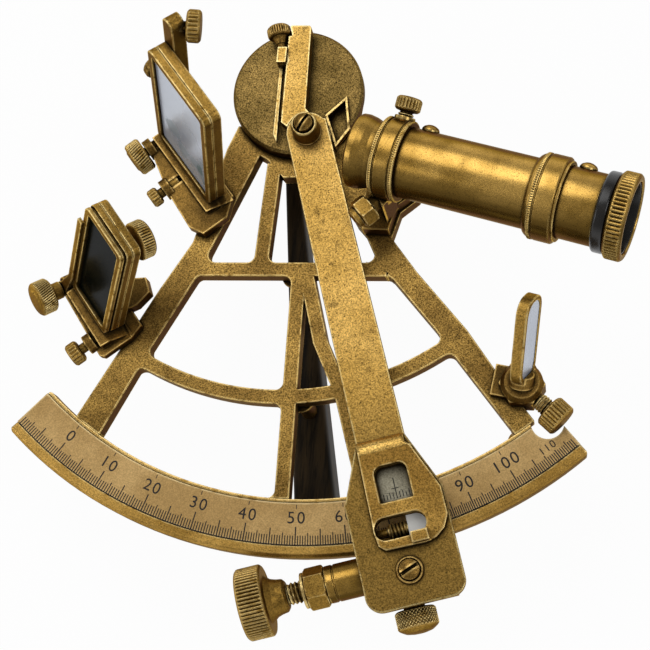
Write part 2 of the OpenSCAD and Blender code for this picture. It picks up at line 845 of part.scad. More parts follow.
module mirror_back() {
    color(brass) on_mirror() difference() {
        union() {
            pane(mirror_w, mirror_h, 3.4, mirror_d * 0.45 + eps, mirror_d);
            // Tongue that turns on the pin in the base
            translate([-9, mirror_mid - 2.4, mirror_pin_z]) cube([4.4, 4.8, -mirror_pin_z]);
            translate([-9, mirror_d * 0.45 + eps, -1]) cube([4.4, 2.7, 2]);
            translate([-9, mirror_mid, mirror_pin_z]) rotate([0, 90, 0])
                cylinder(r = 2.4, h = 4.4);
        }
        translate([-12, mirror_mid, mirror_pin_z]) rotate([0, 90, 0])
            cylinder(r = 1.6 + fit, h = 12);
        translate([-mirror_w / 2 - 1, side_screw.x, side_screw.y]) rotate([0, 90, 0])
            cylinder(r = 1.6 + fit, h = 6.2);
    }
}

// Pins that the upper mirror and the shade turn on
module hinge_pins() {
    color(pale_brass) {
        on_mirror() translate([-19.6, mirror_mid, mirror_pin_z]) rotate([0, 90, 0])
            cylinder(r = 1.6, h = 40.4);
        on_shade() translate([shade_pin.x, 7.8, shade_pin.y]) rotate([90, 0, 0])
            cylinder(r = 1.8, h = 13.6);
    }
}

module mirror_glass() {
    color(mirror_blue) on_mirror() translate([0, 0, 3 + eps])
        pane(mirror_w - 6 - 2 * eps, mirror_h - 6 - 2 * eps, 1.2, 1.2, mirror_d * 0.45);
}

module mirror_post() {
    color(brass) on_mirror() difference() {
        union() {
            translate([-19.2, mirror_d, 44]) cube([6.6, 5.8, post_top - 44]);
            translate([-15.9, mirror_d + 5.8, post_top]) rotate([90, 0, 0])
                cylinder(d = 6.6, h = 5.8);
        }
        translate(post_screw) rotate([0, 0, post_turn]) translate([-1.5, 0, 0])
            rotate([0, 90, 0]) cylinder(r = 1.6 + fit, h = 20);
    }
}

module mirror_post_screw() {
    color(brass) on_mirror() translate(post_screw) rotate([0, 0, post_turn])
        rotate([0, 90, 0]) {
            translate([0, 0, -1]) cylinder(r = 1.6, h = 6);
            translate([0, 0, 4.6]) knurled(12, 5.2, 22, 0.4, 0.8);
        }
}

module mirror_side_screw() {
    color(dark_brass) on_mirror()
        translate([-mirror_w / 2 + 4.8, side_screw.x, side_screw.y]) rotate([0, -90, 0]) {
            cylinder(r = 1.6, h = 8);
            translate([0, 0, 7.8]) knurled(10.4, 3.8, 18, 0.4, 0.6);
        }
}

module mirror_tilt_knob() {
    k = mirror_screws[0];
    color(brass) on_mirror(0) translate([k.x, k.y - 0.4, mirror_screw_z]) rotate([90, 0, 0]) {
        translate([0, 0, -7.4]) cylinder(r = 2, h = 7.6);
        knurled(14, 6.4, 28, 0.45, 1.1);
    }
}

module mirror_adjuster() {
    k = mirror_screws[1];
    color(brass) on_mirror(0) translate([k.x, k.y - 0.5, mirror_screw_z]) rotate([90, 0, 0]) {
        translate([0, 0, -8]) cylinder(r = 2, h = 9.6);
        translate([0, 0, 1.4]) knurled(7.6, 4.4, 18, 0.35, 0.7);
    }
}

// Shade

bezel_t = 1.6;
groove_t = 0.9;
shade_screw_z = -4.4;
back_knob = [2, 43.5];

module shade_base() {
    color(dark_brass) difference() {
        union() {
            on_shade(0) {
                slab([[-12.6, -4.9], [16.5, -6.4], [18, -5], [18, 8], [16, 14], [-19, 14],
                    [-19, 3], [-12.6, 3]], -8, -4.2);
                slab([[-12, -3.4], [15, -3.8], [16, 9], [-12, 9]], -4.2 - eps, -0.8);
                // Lug that reaches back over the strut
                slab([[0, 12], [8, 12], [9, 17], [7.6, 24], [1.6, 26], [-1, 22]], -8, -1.6);
                translate([10, -5, shade_screw_z]) rotate([90, 0, 0])
                    cylinder(d = 8, h = 3.4);
            }
            // Boss of the pin that the shade swings on
            on_shade() translate([shade_pin.x, 8, shade_pin.y]) rotate([90, 0, 0])
                cylinder(d = 8.6, h = 7.7);
        }
        on_shade() {
            translate([-12.5, -0.6, -0.6]) cube([60, shade_d + 1.2, 60]);
            translate([shade_pin.x, 20, shade_pin.y]) rotate([90, 0, 0])
                cylinder(r = 1.8, h = 40);
            translate([shade_pin.x, 0.3, shade_pin.y]) rotate([90, 0, 0])
                cylinder(r = 3.6, h = 20);
        }
        on_shade(0) translate([10, -0.4, shade_screw_z]) rotate([90, 0, 0])
            cylinder(r = 2 + fit, h = 30);
    }
}

module shade_bezel() {
    color(brass) on_shade() difference() {
        union() {
            translate([0, 0, 0.3])
                glazed_frame(shade_w - 0.6, shade_h - 0.6, 2.6, 2.6, 0, bezel_t);
            // Arm that ends in the eye which turns on the pin
            rotate([90, 0, 0]) linear_extrude(1.4) union() {
                polygon([[-19.6, -8], [-14.3, 8], [-14.3, 48], [-11.5, 48], [-11.5, 8],
                    [-14.4, -8]]);
                translate(shade_pin) circle(3.2);
            }
            translate([-12, -eps, 8]) cube([0.4, 0.2, 40]);
        }
        translate([shade_pin.x, 2, shade_pin.y]) rotate([90, 0, 0])
            cylinder(r = 1.8 + fit, h = 6);
    }
}

module shade_front() {
    color(brass) on_shade() {
        difference() {
            pane(shade_w, shade_h, 3, bezel_t + groove_t, shade_d * 0.62);
            translate([0, 0, 3]) pane(shade_w - 6, shade_h - 6, 1.2, 0, shade_d);
        }
        difference() {
            translate([0, 0, 1]) pane(shade_w - 2, shade_h - 2, 2.4, bezel_t + eps,
                bezel_t + groove_t + eps);
            translate([0, 0, 3]) pane(shade_w - 6, shade_h - 6, 1.2, 0, shade_d);
        }
    }
}

module shade_back() {
    color(brass) on_shade() difference() {
        pane(shade_w, shade_h, 3, shade_d * 0.62 + eps, shade_d);
        translate([0, 0, 4.4]) pane(shade_w - 8.8, 29.6, 1.2, 0, shade_d + 1);
        translate([back_knob.x, shade_d + 1, back_knob.y]) rotate([90, 0, 0])
            cylinder(r = 2 + fit, h = 3.6);
    }
}

module shade_glass() {
    color(shade_teal) on_shade() translate([0, 0, 3 + eps])
        pane(shade_w - 6 - 2 * eps, shade_h - 6 - 2 * eps, 1.2, bezel_t + eps,
            shade_d * 0.62);
}

module shade_back_knob() {
    color(brass) on_shade() translate([back_knob.x, shade_d, back_knob.y])
        rotate([-90, 0, 0]) {
            translate([0, 0, -2.4]) cylinder(r = 2, h = 3);
            translate([0, 0, 0.3]) cylinder(d = 5, h = 4.8);
            translate([0, 0, 5]) knurled(15, 6, 30, 0.45, 1);
        }
}

module shade_tilt_knob() {
    color(brass) on_shade() translate([shade_pin.x, -1.8, shade_pin.y]) rotate([90, 0, 0])
        difference() {
            union() {
                cylinder(d = 7, h = 4.6);
                translate([0, 0, 4.4]) knurled(14, 6.8, 30, 0.45, 1.1);
            }
            translate([0, 0, -1]) cylinder(r = 1.8 + fit, h = 6.4);
        }
}

module shade_adjuster() {
    color(brass) on_shade(0) translate([10, -8.7, shade_screw_z]) rotate([90, 0, 0]) {
        translate([0, 0, -8]) cylinder(r = 2, h = 10.6);
        translate([0, 0, 2.4]) knurled(9.4, 5, 20, 0.4, 0.8);
    }
}

// Small mirror on the right strut

module on_small() {
    on_deck() translate([small_at.x, small_at.y, 10]) rotate([0, 0, -6])
        rotate([-50, 0, 0]) rotate([0, 0, -15.5]) children();
}

module small_mirror_base() {
    color(dark_brass) difference() {
        union() {
            on_deck() {
                translate([small_at.x, small_at.y, -frame_t]) hex(17.5, 13);
                translate([small_at.x, small_at.y, 6]) cylinder(d1 = 16, d2 = 13, h = 3);
                bar([76, -94], [88, -96], 12, 0, 3);
            }
            // Socket of the small mirror's frame
            on_small() translate([0, 0, -2]) cylinder(d = 9, h = 5);
        }
        on_deck() {
            translate([small_at.x, small_at.y, 2]) rotate([0, 0, small_turn])
                rotate([0, 90, 0]) cylinder(r = 2.5 + fit, h = 30);
            slab(right_strut, -frame_t - 1, 0);
        }
        on_small() small_blank(0);
    }
}

// Stadium-like plate of the small mirror, its length along z
module small_blank(inset, x0 = -2.2, x1 = 2.2) {
    translate([0, 0, inset]) rotate([0, 0, 90])
        pane(small_w - 2 * inset, small_l - 2 * inset, 6 - inset * 0.6, -x1, -x0);
}

module small_mirror_frame() {
    color(brass) on_small() difference() {
        small_blank(0);
        small_blank(1.8, 0.9, 4);
    }
}

module small_mirror_glass() {
    color(mirror_blue) on_small() small_blank(1.8 + eps, 0.9, 1.9);
}

module small_mirror_screw() {
    color(brass) on_deck() translate([small_at.x, small_at.y, 2])
        rotate([0, 0, small_turn]) rotate([0, 90, 0]) {
            translate([0, 0, 2]) cylinder(r = 2.5, h = 8);
            translate([0, 0, 8.6]) threaded(7, 4.8, 1.2);
            translate([0, 0, 13.2]) knurled(12.8, 7.4, 26, 0.45, 1.2);
        }
}

frame();
limb();
scale_plate();
pivot_leg();
arc_legs();
pivot_disc();
pivot_bearing();
handle();
handle_brackets();
index_arm();
arm_tail();
tail_screw();
pivot_shaft();
pivot_collar();
pivot_screw();
vernier_box();
vernier_plate();
index_plate();
vernier_screw();
foot_block();
foot_screw();
clamp_jaw();
clamp_knob();
barrel();
lock_nut();
tangent_screw();
telescope_bracket();
bracket_bolt();
telescope_collar();
collar_screw();
objective_cell();
objective_lens();
main_tube();
rear_ring();
draw_tube();
black_ring();
eyepiece_ring();
eye_lens();
mirror_base();
mirror_front();
mirror_back();
mirror_glass();
mirror_post();
mirror_post_screw();
mirror_side_screw();
mirror_tilt_knob();
mirror_adjuster();
shade_base();
shade_bezel();
shade_front();
shade_back();
shade_glass();
shade_back_knob();
shade_tilt_knob();
shade_adjuster();
small_mirror_base();
small_mirror_frame();
small_mirror_glass();
small_mirror_screw();
hinge_pins();
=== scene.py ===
import json
import math

import bmesh
import bpy
import numpy as np
from mathutils import Matrix, Vector
from mathutils.bvhtree import BVHTree
from mathutils.geometry import delaunay_2d_cdt


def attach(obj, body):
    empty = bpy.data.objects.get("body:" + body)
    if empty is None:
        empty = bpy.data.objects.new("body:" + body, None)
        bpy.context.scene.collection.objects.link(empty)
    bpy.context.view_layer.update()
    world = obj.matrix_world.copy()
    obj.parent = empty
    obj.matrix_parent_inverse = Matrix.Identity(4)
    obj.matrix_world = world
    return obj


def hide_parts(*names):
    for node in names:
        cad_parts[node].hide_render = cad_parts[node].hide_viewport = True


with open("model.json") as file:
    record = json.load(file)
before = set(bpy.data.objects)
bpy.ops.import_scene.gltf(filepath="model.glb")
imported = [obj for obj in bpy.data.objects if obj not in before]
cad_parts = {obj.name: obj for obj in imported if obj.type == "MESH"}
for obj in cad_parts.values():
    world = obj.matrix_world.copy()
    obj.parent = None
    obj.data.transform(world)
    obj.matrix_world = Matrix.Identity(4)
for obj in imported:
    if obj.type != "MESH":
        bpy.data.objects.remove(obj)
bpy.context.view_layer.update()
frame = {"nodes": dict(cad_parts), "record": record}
behaviour = frame["record"]["behaviour"]
BODY = {node: body for body, nodes in behaviour["bodies"].items() for node in nodes}
MM = 0.001
TAU = 2 * math.pi

# Millimetres and degrees, as in the part's source. The deck's height is above the table, and
# the other heights are above the deck. Edges are smooth where faces meet below SMOOTH degrees.
DECK_Z = 52
ARM_LOW, ARM_TOP, BOX_TOP = 10.5, 14.0, 16.6
MIRROR_LEAN, SHADE_LEAN = 12.8, 25.8
TUBE_R, DRAW_R = 13.4, 13.5
BEARING_TOP = 14
SMOOTH, HEX_SMOOTH = 38, 28


# Frames

def shift(x, y, z):
    m = np.eye(4)
    m[:3, 3] = (x, y, z)
    return m


def turn(axis, degrees):
    c, s = math.cos(math.radians(degrees)), math.sin(math.radians(degrees))
    m = np.eye(4)
    i, j = {"x": (1, 2), "y": (2, 0), "z": (0, 1)}[axis]
    m[i, i] = m[j, j] = c
    m[i, j], m[j, i] = -s, s
    return m


def chain(*steps):
    m = np.eye(4)
    for step in steps:
        m = m @ step
    return m


DECK = shift(0, 0, DECK_Z)
ARM = chain(DECK, turn("z", 16.65))
TUBE = chain(DECK, shift(41.7, -18.3, 30), turn("z", -15.6), turn("y", -5), turn("y", 90))
FROM_SIDE = turn("z", -75)
TUBE_SIDE = chain(TUBE, FROM_SIDE)
TANGENT = chain(ARM, shift(0, -172.2, 3), turn("y", 90))


def mirror_frame(lean=MIRROR_LEAN):
    return chain(DECK, shift(-49.9, -14.2, 8), turn("z", -51.1), turn("x", -lean))


def shade_frame(lean=SHADE_LEAN):
    return chain(DECK, shift(-82.8, -73.4, 8), turn("z", -51.9), turn("x", -lean))


# Surfaces

EDGE_SHARE = 0.45


def rounded(points, radius=0.35, closed=False, steps=4):
    """Profile with every corner p replaced by the arc (1-t)^2 a + 2t(1-t) p + t^2 b, where a and
    b lie on the corner's two edges at the radius, or at a share of the edge where that is less.
    A corner may carry its own radius as a third number."""
    p = np.array([q[:2] for q in points], float)
    own = [q[2] if len(q) > 2 else radius for q in points]
    t = np.linspace(0, 1, steps + 1)[:, None]
    out = []
    for i, r in enumerate(own):
        if not closed and i in (0, len(p) - 1) or r == 0:
            out.append(p[i:i + 1])
            continue
        before, after = p[i - 1] - p[i], p[(i + 1) % len(p)] - p[i]
        lengths = np.linalg.norm(before), np.linalg.norm(after)
        reach = min(r, EDGE_SHARE * min(lengths))
        a, b = p[i] + before / lengths[0] * reach, p[i] + after / lengths[1] * reach
        out.append((1 - t) ** 2 * a + 2 * t * (1 - t) * p[i] + t ** 2 * b)
    return np.vstack(out)


def dense(profile, step, closed=False):
    """Profile with points added evenly on every edge that is longer than the step."""
    ends = np.vstack([profile, profile[:1]]) if closed else profile
    out = []
    for a, b in zip(ends[:-1], ends[1:]):
        n = max(1, int(math.ceil(np.linalg.norm(b - a) / step)))
        out.append(a + (b - a) * np.linspace(0, 1, n, endpoint=False)[:, None])
    return np.vstack(out if closed else out + [profile[-1:]])


def skin(points, loop_rows=False):
    """Quads over a grid of rows x columns x 3, whose columns always close on themselves. The
    rows close too where loop_rows is set, and otherwise each end gets a face of its own."""
    rows, cols = points.shape[:2]
    index = np.arange(rows * cols).reshape(rows, cols)
    below = index if loop_rows else index[:-1]
    above = np.roll(index, -1, 0) if loop_rows else index[1:]
    quads = np.stack([below, np.roll(below, -1, 1), np.roll(above, -1, 1), above], -1)
    faces = quads.reshape(-1, 4).tolist()
    if not loop_rows:
        faces += [index[0][::-1].tolist(), index[-1].tolist()]
    return points.reshape(-1, 3), faces


def turned(profile, columns=96, ring=False, shape=None, step=None):
    """Turned shell: (r, z) of the profile carried round z, at (r cos a, r sin a, z). The shape
    function may change r by the angle and the height. A ring's profile closes on itself."""
    profile = np.asarray(profile, float)
    if step:
        profile = dense(profile, step, ring)
    if not ring:
        profile = profile[profile[:, 0] > 1e-6]
    a = np.linspace(0, TAU, columns, endpoint=False)[None, :]
    r, z = profile[:, :1] + 0 * a, profile[:, 1:] + 0 * a
    if shape:
        r = shape(r, a, z)
    verts, faces = skin(np.stack([r * np.cos(a), r * np.sin(a), z], -1), ring)
    area = np.sum(profile[:, 0] * np.roll(profile[:, 1], -1)
                  - np.roll(profile[:, 0], -1) * profile[:, 1]) if ring else 0
    rising = area > 0 if ring else profile[-1, 1] > profile[0, 1]
    return (verts, faces) if rising else (verts, [f[::-1] for f in faces])


KNURL_FADE, GROOVE_POWER = 0.5, 1.6


def knurl(teeth, low, high, depth, slant=0.0, crossed=False, above=0.0):
    """Relief of a knurled band: r less depth times a groove wave round the axis, sheared by
    slant degrees per mm, the deeper of the two shears where crossed, faded out at its ends and
    left out where r isn't above the given radius."""
    def shape(r, a, z):
        fade = (np.clip((z - low) / KNURL_FADE, 0, 1) * np.clip((high - z) / KNURL_FADE, 0, 1)
                * (r > above))
        lean = math.radians(slant) * z
        groove = 0.5 + 0.5 * np.cos(teeth * (a + lean))
        if crossed:
            groove = np.maximum(groove, 0.5 + 0.5 * np.cos(teeth * (a - lean)))
        return r - depth * fade * groove ** GROOVE_POWER
    return shape


def thread(radius, pitch, low, high, depth):
    """Screw thread: r is the radius less a triangle wave of z / pitch - a / 360 degrees."""
    def shape(r, a, z):
        phase = (z / pitch - a / TAU) % 1
        fade = np.clip((z - low) / pitch, 0, 1) * np.clip((high - z) / pitch, 0, 1)
        return r - depth * (1 - fade + fade * np.abs(2 * phase - 1))
    return turned([(radius, low), (radius, high)], 48, shape=shape, step=pitch / 8)


def hexagon(across, low, high, bore=0.0):
    """Hexagon nut or head: r is the hexagon's edge, cut by a cone at both ends."""
    sixth = math.pi / 6
    flat = across / 2 * math.cos(sixth)
    core, chamfer, steep = flat * 0.8, 0.28, 1.9

    def shape(r, a, z):
        edge = flat / np.cos((a + sixth) % (2 * sixth) - sixth)
        cone = flat - chamfer + np.minimum(z - low, high - z) * steep
        return np.where(r > core, np.minimum(edge, np.maximum(cone, core)), r)
    levels = [low, low + 0.25, low + 0.6, low + 1, low + 1.6]
    side = [(flat, z) for z in levels + [low + high - z for z in levels[::-1]]]
    if bore:
        return turned([(bore, high), (bore, low)] + side, 72, True, shape)
    return turned(side, 72, shape=shape)


def joined(shells):
    """One vertex and face list from several closed shells."""
    verts, faces, base = [], [], 0
    for v, f in shells:
        verts.append(v)
        faces += [[i + base for i in face] for face in f]
        base += len(v)
    return np.vstack(verts), faces


def mesh_object(name, shells, place, sharp=SMOOTH):
    """Object of the shells, set in its frame, smooth where faces meet below the sharp angle."""
    verts, faces = joined(shells)
    world = (verts @ place[:3, :3].T + place[:3, 3]) * MM
    mesh = bpy.data.meshes.new(name)
    mesh.from_pydata(world.tolist(), [], faces)
    mesh.validate()
    mesh.shade_smooth()
    mesh.set_sharp_from_angle(angle=math.radians(sharp))
    obj = bpy.data.objects.new(name, mesh)
    bpy.context.scene.collection.objects.link(obj)
    return obj


def fitted(obj, node, material, replace=True):
    """The piece takes the material, rides with the node's body and, as a rule, stands for it."""
    obj.data.materials.clear()
    obj.data.materials.append(material)
    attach(obj, BODY[node])
    if replace:
        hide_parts(node)
    return obj


def turned_piece(node, place, shells, material, sharp=SMOOTH):
    return fitted(mesh_object(node + "_turned", shells, place, sharp), node, material)


SLACK, ONLY_INSIDE = 0.02, 2


def folded(bm):
    """Many-sided faces whose triangles cover more than their outline encloses, by more square
    mm than SLACK."""
    cover = {}
    for corners in bm.calc_loop_triangles():
        a, b, c = (corner.vert.co for corner in corners)
        face = corners[0].face
        cover[face] = cover.get(face, 0) + (b - a).cross(c - a).length / 2
    found = []
    for face, area in cover.items():
        if len(face.verts) < 5:
            continue
        p = np.array([v.co for v in face.verts])
        normal = np.cross(p - p[0], np.roll(p, -1, 0) - p[0]).sum(0)
        if area - np.linalg.norm(normal) / 2 > SLACK * MM ** 2:
            found.append((face, Vector(normal).normalized()))
    return found


def refill(bm):
    """Fills the folded faces again with a Delaunay triangulation inside their outlines."""
    for face, normal in folded(bm):
        start = face.verts[0].co.copy()
        x = normal.orthogonal().normalized()
        y = normal.cross(x)
        corners = list(face.verts)
        flat = [Vector(((v.co - start).dot(x), (v.co - start).dot(y))) / MM for v in corners]
        points, _, triangles, sources, _, _ = delaunay_2d_cdt(
            flat, [], [list(range(len(flat)))], ONLY_INSIDE, 1e-5)
        verts = [corners[source[0]] if source else bm.verts.new(start + (x * p.x + y * p.y) * MM)
                 for p, source in zip(points, sources)]
        bm.faces.remove(face)
        for triangle in triangles:
            chosen = [verts[k] for k in triangle]
            if len(set(chosen)) == 3 and not bm.faces.get(chosen):
                bm.faces.new(chosen)


MERGED, WHOLE_FACES = 0.004, 90
FLAT, EDGE, CREASE = (math.radians(a) for a in (0.5, 32, 35))


def softened(node, material, width, short=0.0, extra=None):
    """Copy of a CAD solid: its triangles merged into flat faces, edges shorter than the given
    length closed up, and its sharp edges eased by a bevel. Extra holds the reach of a wider
    bevel and the rule that picks its edges. A corner that the bevels throw farther from the
    solid than their own width goes back to it."""
    mesh = frame["nodes"][node].data.copy()
    mesh.name = node + "_eased"
    bm = bmesh.new()
    bm.from_mesh(mesh)
    bmesh.ops.remove_doubles(bm, verts=bm.verts, dist=MERGED * MM)
    bmesh.ops.dissolve_limit(bm, angle_limit=FLAT, verts=bm.verts, edges=bm.edges)
    if short:
        bmesh.ops.dissolve_degenerate(bm, dist=short * MM, edges=bm.edges)
    surface = BVHTree.FromBMesh(bm)
    if extra:
        reach, chosen = extra
        edges = [e for e in bm.edges if e.is_manifold and chosen(e)]
        bmesh.ops.bevel(bm, geom=edges, offset=reach * MM, segments=5, profile=0.5,
                        affect="EDGES", clamp_overlap=True)
    if width:
        edges = [e for e in bm.edges if e.is_manifold and e.calc_face_angle(0) > EDGE]
        bmesh.ops.bevel(bm, geom=edges, offset=width * MM, segments=2, profile=0.5,
                        affect="EDGES", loop_slide=True)
    farthest = (width + (extra[0] if extra else 0)) * MM
    for vert in bm.verts:
        near, _, _, distance = surface.find_nearest(vert.co)
        if distance > farthest:
            vert.co = near
    refill(bm)
    bm.to_mesh(mesh)
    bm.free()
    if "custom_normal" in mesh.attributes:
        mesh.attributes.remove(mesh.attributes["custom_normal"])
    mesh.shade_smooth()
    mesh.set_sharp_from_angle(angle=CREASE)
    obj = bpy.data.objects.new(node + "_eased", mesh)
    bpy.context.scene.collection.objects.link(obj)
    weighted = obj.modifiers.new("flat_faces_first", "WEIGHTED_NORMAL")
    weighted.keep_sharp = True
    weighted.weight = WHOLE_FACES
    return fitted(obj, node, material)


# Materials

class Value:
    """An output socket that can be written in sums and products."""

    def __init__(self, tree, socket):
        self.tree, self.socket = tree, socket

    def math(self, kind, other=None, swap=False, clamp=False):
        node = self.tree.nodes.new("ShaderNodeMath")
        node.operation = kind
        node.use_clamp = clamp
        pair = [self, other][::-1] if swap else [self, other]
        for socket, value in zip(node.inputs, pair):
            if isinstance(value, Value):
                self.tree.links.new(value.socket, socket)
            elif value is not None:
                socket.default_value = value
        return Value(self.tree, node.outputs[0])

    def __add__(self, other):
        return self.math("ADD", other)

    def __mul__(self, other):
        return self.math("MULTIPLY", other)

    def __sub__(self, other):
        return self.math("SUBTRACT", other)

    def __rsub__(self, other):
        return self.math("SUBTRACT", other, swap=True)

    __radd__ = __add__

    def clamped(self):
        return self.math("ADD", 0.0, clamp=True)


AO_SAMPLES = 8


class Finish:
    """A material under construction: makes nodes and keeps the shader."""

    def __init__(self, name):
        self.material = bpy.data.materials.new(name)
        self.material.use_nodes = True
        self.tree = self.material.node_tree
        self.shader = self.tree.nodes["Principled BSDF"]
        self.place = self.node("ShaderNodeTexCoord", {}, {}, "Object")

    def node(self, kind, settings, inputs, output=0):
        node = self.tree.nodes.new(kind)
        for key, value in settings.items():
            setattr(node, key, value)
        for key, value in inputs.items():
            self.feed(node.inputs[key], value)
        return Value(self.tree, node.outputs[output])

    def feed(self, socket, value):
        if isinstance(value, Value):
            self.tree.links.new(value.socket, socket)
        elif socket.type == "RGBA" and len(value) == 3:
            socket.default_value = (*value, 1)
        else:
            socket.default_value = value

    def grey(self, level):
        """Colour whose three channels are the value."""
        return self.node("ShaderNodeCombineColor", {}, {0: level, 1: level, 2: level})

    def distance(self):
        """Distance from the pivot's foot, in metres."""
        return self.node("ShaderNodeVectorMath", {"operation": "LENGTH"}, {0: self.place},
                         "Value")

    def noise(self, scale, detail=3.0, rough=0.55, offset=None, stretch=None):
        place = self.place
        if offset or stretch:
            place = self.node("ShaderNodeMapping", {}, {
                "Vector": place, "Location": offset or (0, 0, 0),
                "Scale": stretch or (1, 1, 1)})
        return self.node("ShaderNodeTexNoise", {}, {
            "Vector": place, "Scale": scale, "Detail": detail, "Roughness": rough}, "Fac")

    def ramp(self, value, low, high):
        """0 below low, 1 above high, smooth between."""
        return self.node("ShaderNodeMapRange", {"interpolation_type": "SMOOTHSTEP"}, {
            "Value": value, "From Min": low, "From Max": high}, "Result")

    def mix(self, factor, a, b, kind="MIX"):
        node = self.tree.nodes.new("ShaderNodeMix")
        node.data_type = "RGBA"
        node.blend_type = kind
        self.feed(node.inputs["Factor"], factor)
        for socket, value in ((node.inputs[6], a), (node.inputs[7], b)):
            self.feed(socket, value)
        return Value(self.tree, node.outputs[2])

    def occlusion(self, distance, inside=False):
        return self.node("ShaderNodeAmbientOcclusion",
                         {"inside": inside, "only_local": inside, "samples": AO_SAMPLES},
                         {"Distance": distance * MM}, "AO")

    def upward(self):
        """How far the surface faces the top of the instrument, in its own coordinates."""
        place = self.node("ShaderNodeTexCoord", {}, {}, "Normal")
        return self.node("ShaderNodeSeparateXYZ", {}, {"Vector": place}, "Z")

    def bump(self, height, strength, depth):
        normal = self.node("ShaderNodeBump", {}, {
            "Height": height, "Strength": strength, "Distance": depth * MM}, "Normal")
        self.set("Normal", normal)

    def set(self, socket, value):
        self.feed(self.shader.inputs[socket], value)


def srgb(r, g, b):
    """Linear colour of an 8-bit one: ((c + 0.055) / 1.055)^2.4, or c / 12.92 where dark."""
    c = np.array([r, g, b]) / 255
    return tuple(np.where(c <= 0.04045, c / 12.92, ((c + 0.055) / 1.055) ** 2.4).tolist())


# Dark pits; corner dirt that is also painted shade; painted shade in the creases
PITTED, CORNER_DIRT_AND_SHADE, CREASE_SHADE = (0.020, 0.013, 0.006), (0.030, 0.019, 0.008), (0.006, 0.004, 0.002)
# Millimetres over which the painted shade away from the pivot deepens
SHADED_OVER = 32


def brass(name, light, dark, worn, speck=0.6, corner_dirt_and_shade=0.9, rough=0.32, metal=0.85, bump=0.45,
          side_patina_and_shade=0.7, reach=4.5, edge=0.9, shaded_from=0.0, sandy=1.0, side_shade_ramp=(0.84, 0.15)):
    """Antique brass: two tones in clouds, sand-like grain, dark pits, patina on the sides that is
    also painted shade, dirt in the corners that is also painted shade, painted shade in the
    creases, and bright worn edges that are also a painted highlight. The three tones are 8-bit
    colours. The side darkening grows between its two given upward values, and the corner
    darkening within reach mm of a corner. Where a starting distance is given, the tone darkens
    with the distance from the pivot beyond that many mm, as painted shade."""
    f = Finish(name)
    light, dark, worn = srgb(*light), srgb(*dark), srgb(*worn)
    clouds = f.noise(38, 3, 0.6)
    sand = f.noise(1900, 3, 0.7)
    grain = f.noise(800, 3, 0.7, (0.4, 0.2, 0.6))
    pits = f.ramp(f.noise(1700, 2, 0.6, (0.3, 0.1, 0.2)), 0.60, 0.68)
    blots = f.ramp(f.noise(190, 4, 0.65, (0.1, 0.7, 0.4)), 0.58, 0.74)
    # Dirt and painted shade in the corners, from occlusion within reach mm
    corner = f.ramp(1.0 - f.occlusion(reach), 0.10, 0.62)
    # Painted shade in the creases, from occlusion within 1.3 mm
    crease_shade = f.ramp(1.0 - f.occlusion(1.3), 0.12, 0.5)
    # Convex edges, found by occlusion inside the solid: worn edges that are also a painted
    # highlight
    worn_edge_and_highlight = f.ramp(1.0 - f.occlusion(1.0, True), 0.12, 0.34)
    # Faces that turn away from the top: patina that is also painted shade
    side = f.ramp(f.upward(), *side_shade_ramp)
    tone = f.mix(f.ramp(clouds, 0.34, 0.66), dark, light)
    # Painted shade: darker with the distance from the pivot
    if shaded_from:
        far_shade = f.ramp(f.distance(), shaded_from * MM, (shaded_from + SHADED_OVER) * MM)
        tone = f.mix(far_shade, tone, tuple(0.56 * a + 0.02 * b for a, b in zip(dark, light)))
    sanded = f.ramp(sand, 0.34, 0.66) * sandy + (1.0 - 0.5 * sandy)
    tone = f.mix(1.0, tone, f.grey(sanded), "MULTIPLY")
    tone = f.mix(f.ramp(grain, 0.45, 0.75) * (0.45 * min(sandy, 1.0)), tone,
                 tuple(0.3 * c for c in dark))
    # Patina and painted shade on the sides
    tone = f.mix(side * side_patina_and_shade, tone, tuple(0.2 * c for c in dark))
    # Worn edges, also a painted highlight, in the third tone
    tone = f.mix(worn_edge_and_highlight * edge * f.ramp(f.noise(300, 2, 0.5), 0.28, 0.5), tone, worn)
    marks = (pits * speck + blots * speck * 0.5).clamped()
    tone = f.mix(marks, tone, PITTED)
    # Dirt and painted shade in the corners
    tone = f.mix((corner * corner_dirt_and_shade).clamped(), tone, CORNER_DIRT_AND_SHADE)
    # Painted shade in the creases
    tone = f.mix(crease_shade * corner_dirt_and_shade, tone, CREASE_SHADE)
    f.set("Base Color", tone)
    f.set("Metallic", metal)
    f.set("Specular Tint", srgb(206, 176, 112))
    f.set("Roughness", (sand * 0.16 + marks * 0.3 + corner * 0.2 - worn_edge_and_highlight * 0.1 + rough)
          .clamped())
    f.bump(sand * 0.5 + f.noise(160, 2, 0.5) * 0.5 - marks * 0.6, bump, 0.12)
    return f.material


BRASS = brass("antique_brass", (190, 150, 73), (138, 106, 46), (250, 222, 152), sandy=0.75)
# The arm's brass darkens beyond 122 mm from the pivot: painted shade
ARM_BRASS = brass("arm_brass", (216, 174, 94), (190, 150, 74), (252, 228, 160), speck=0.8,
                  reach=7, side_patina_and_shade=0.92, shaded_from=122, sandy=0.9)
FOOT_BRASS = brass("foot_brass", (190, 149, 74), (152, 115, 52), (252, 222, 150), speck=0.7,
                   reach=6.5, side_patina_and_shade=0.92, edge=1.0, sandy=0.9)
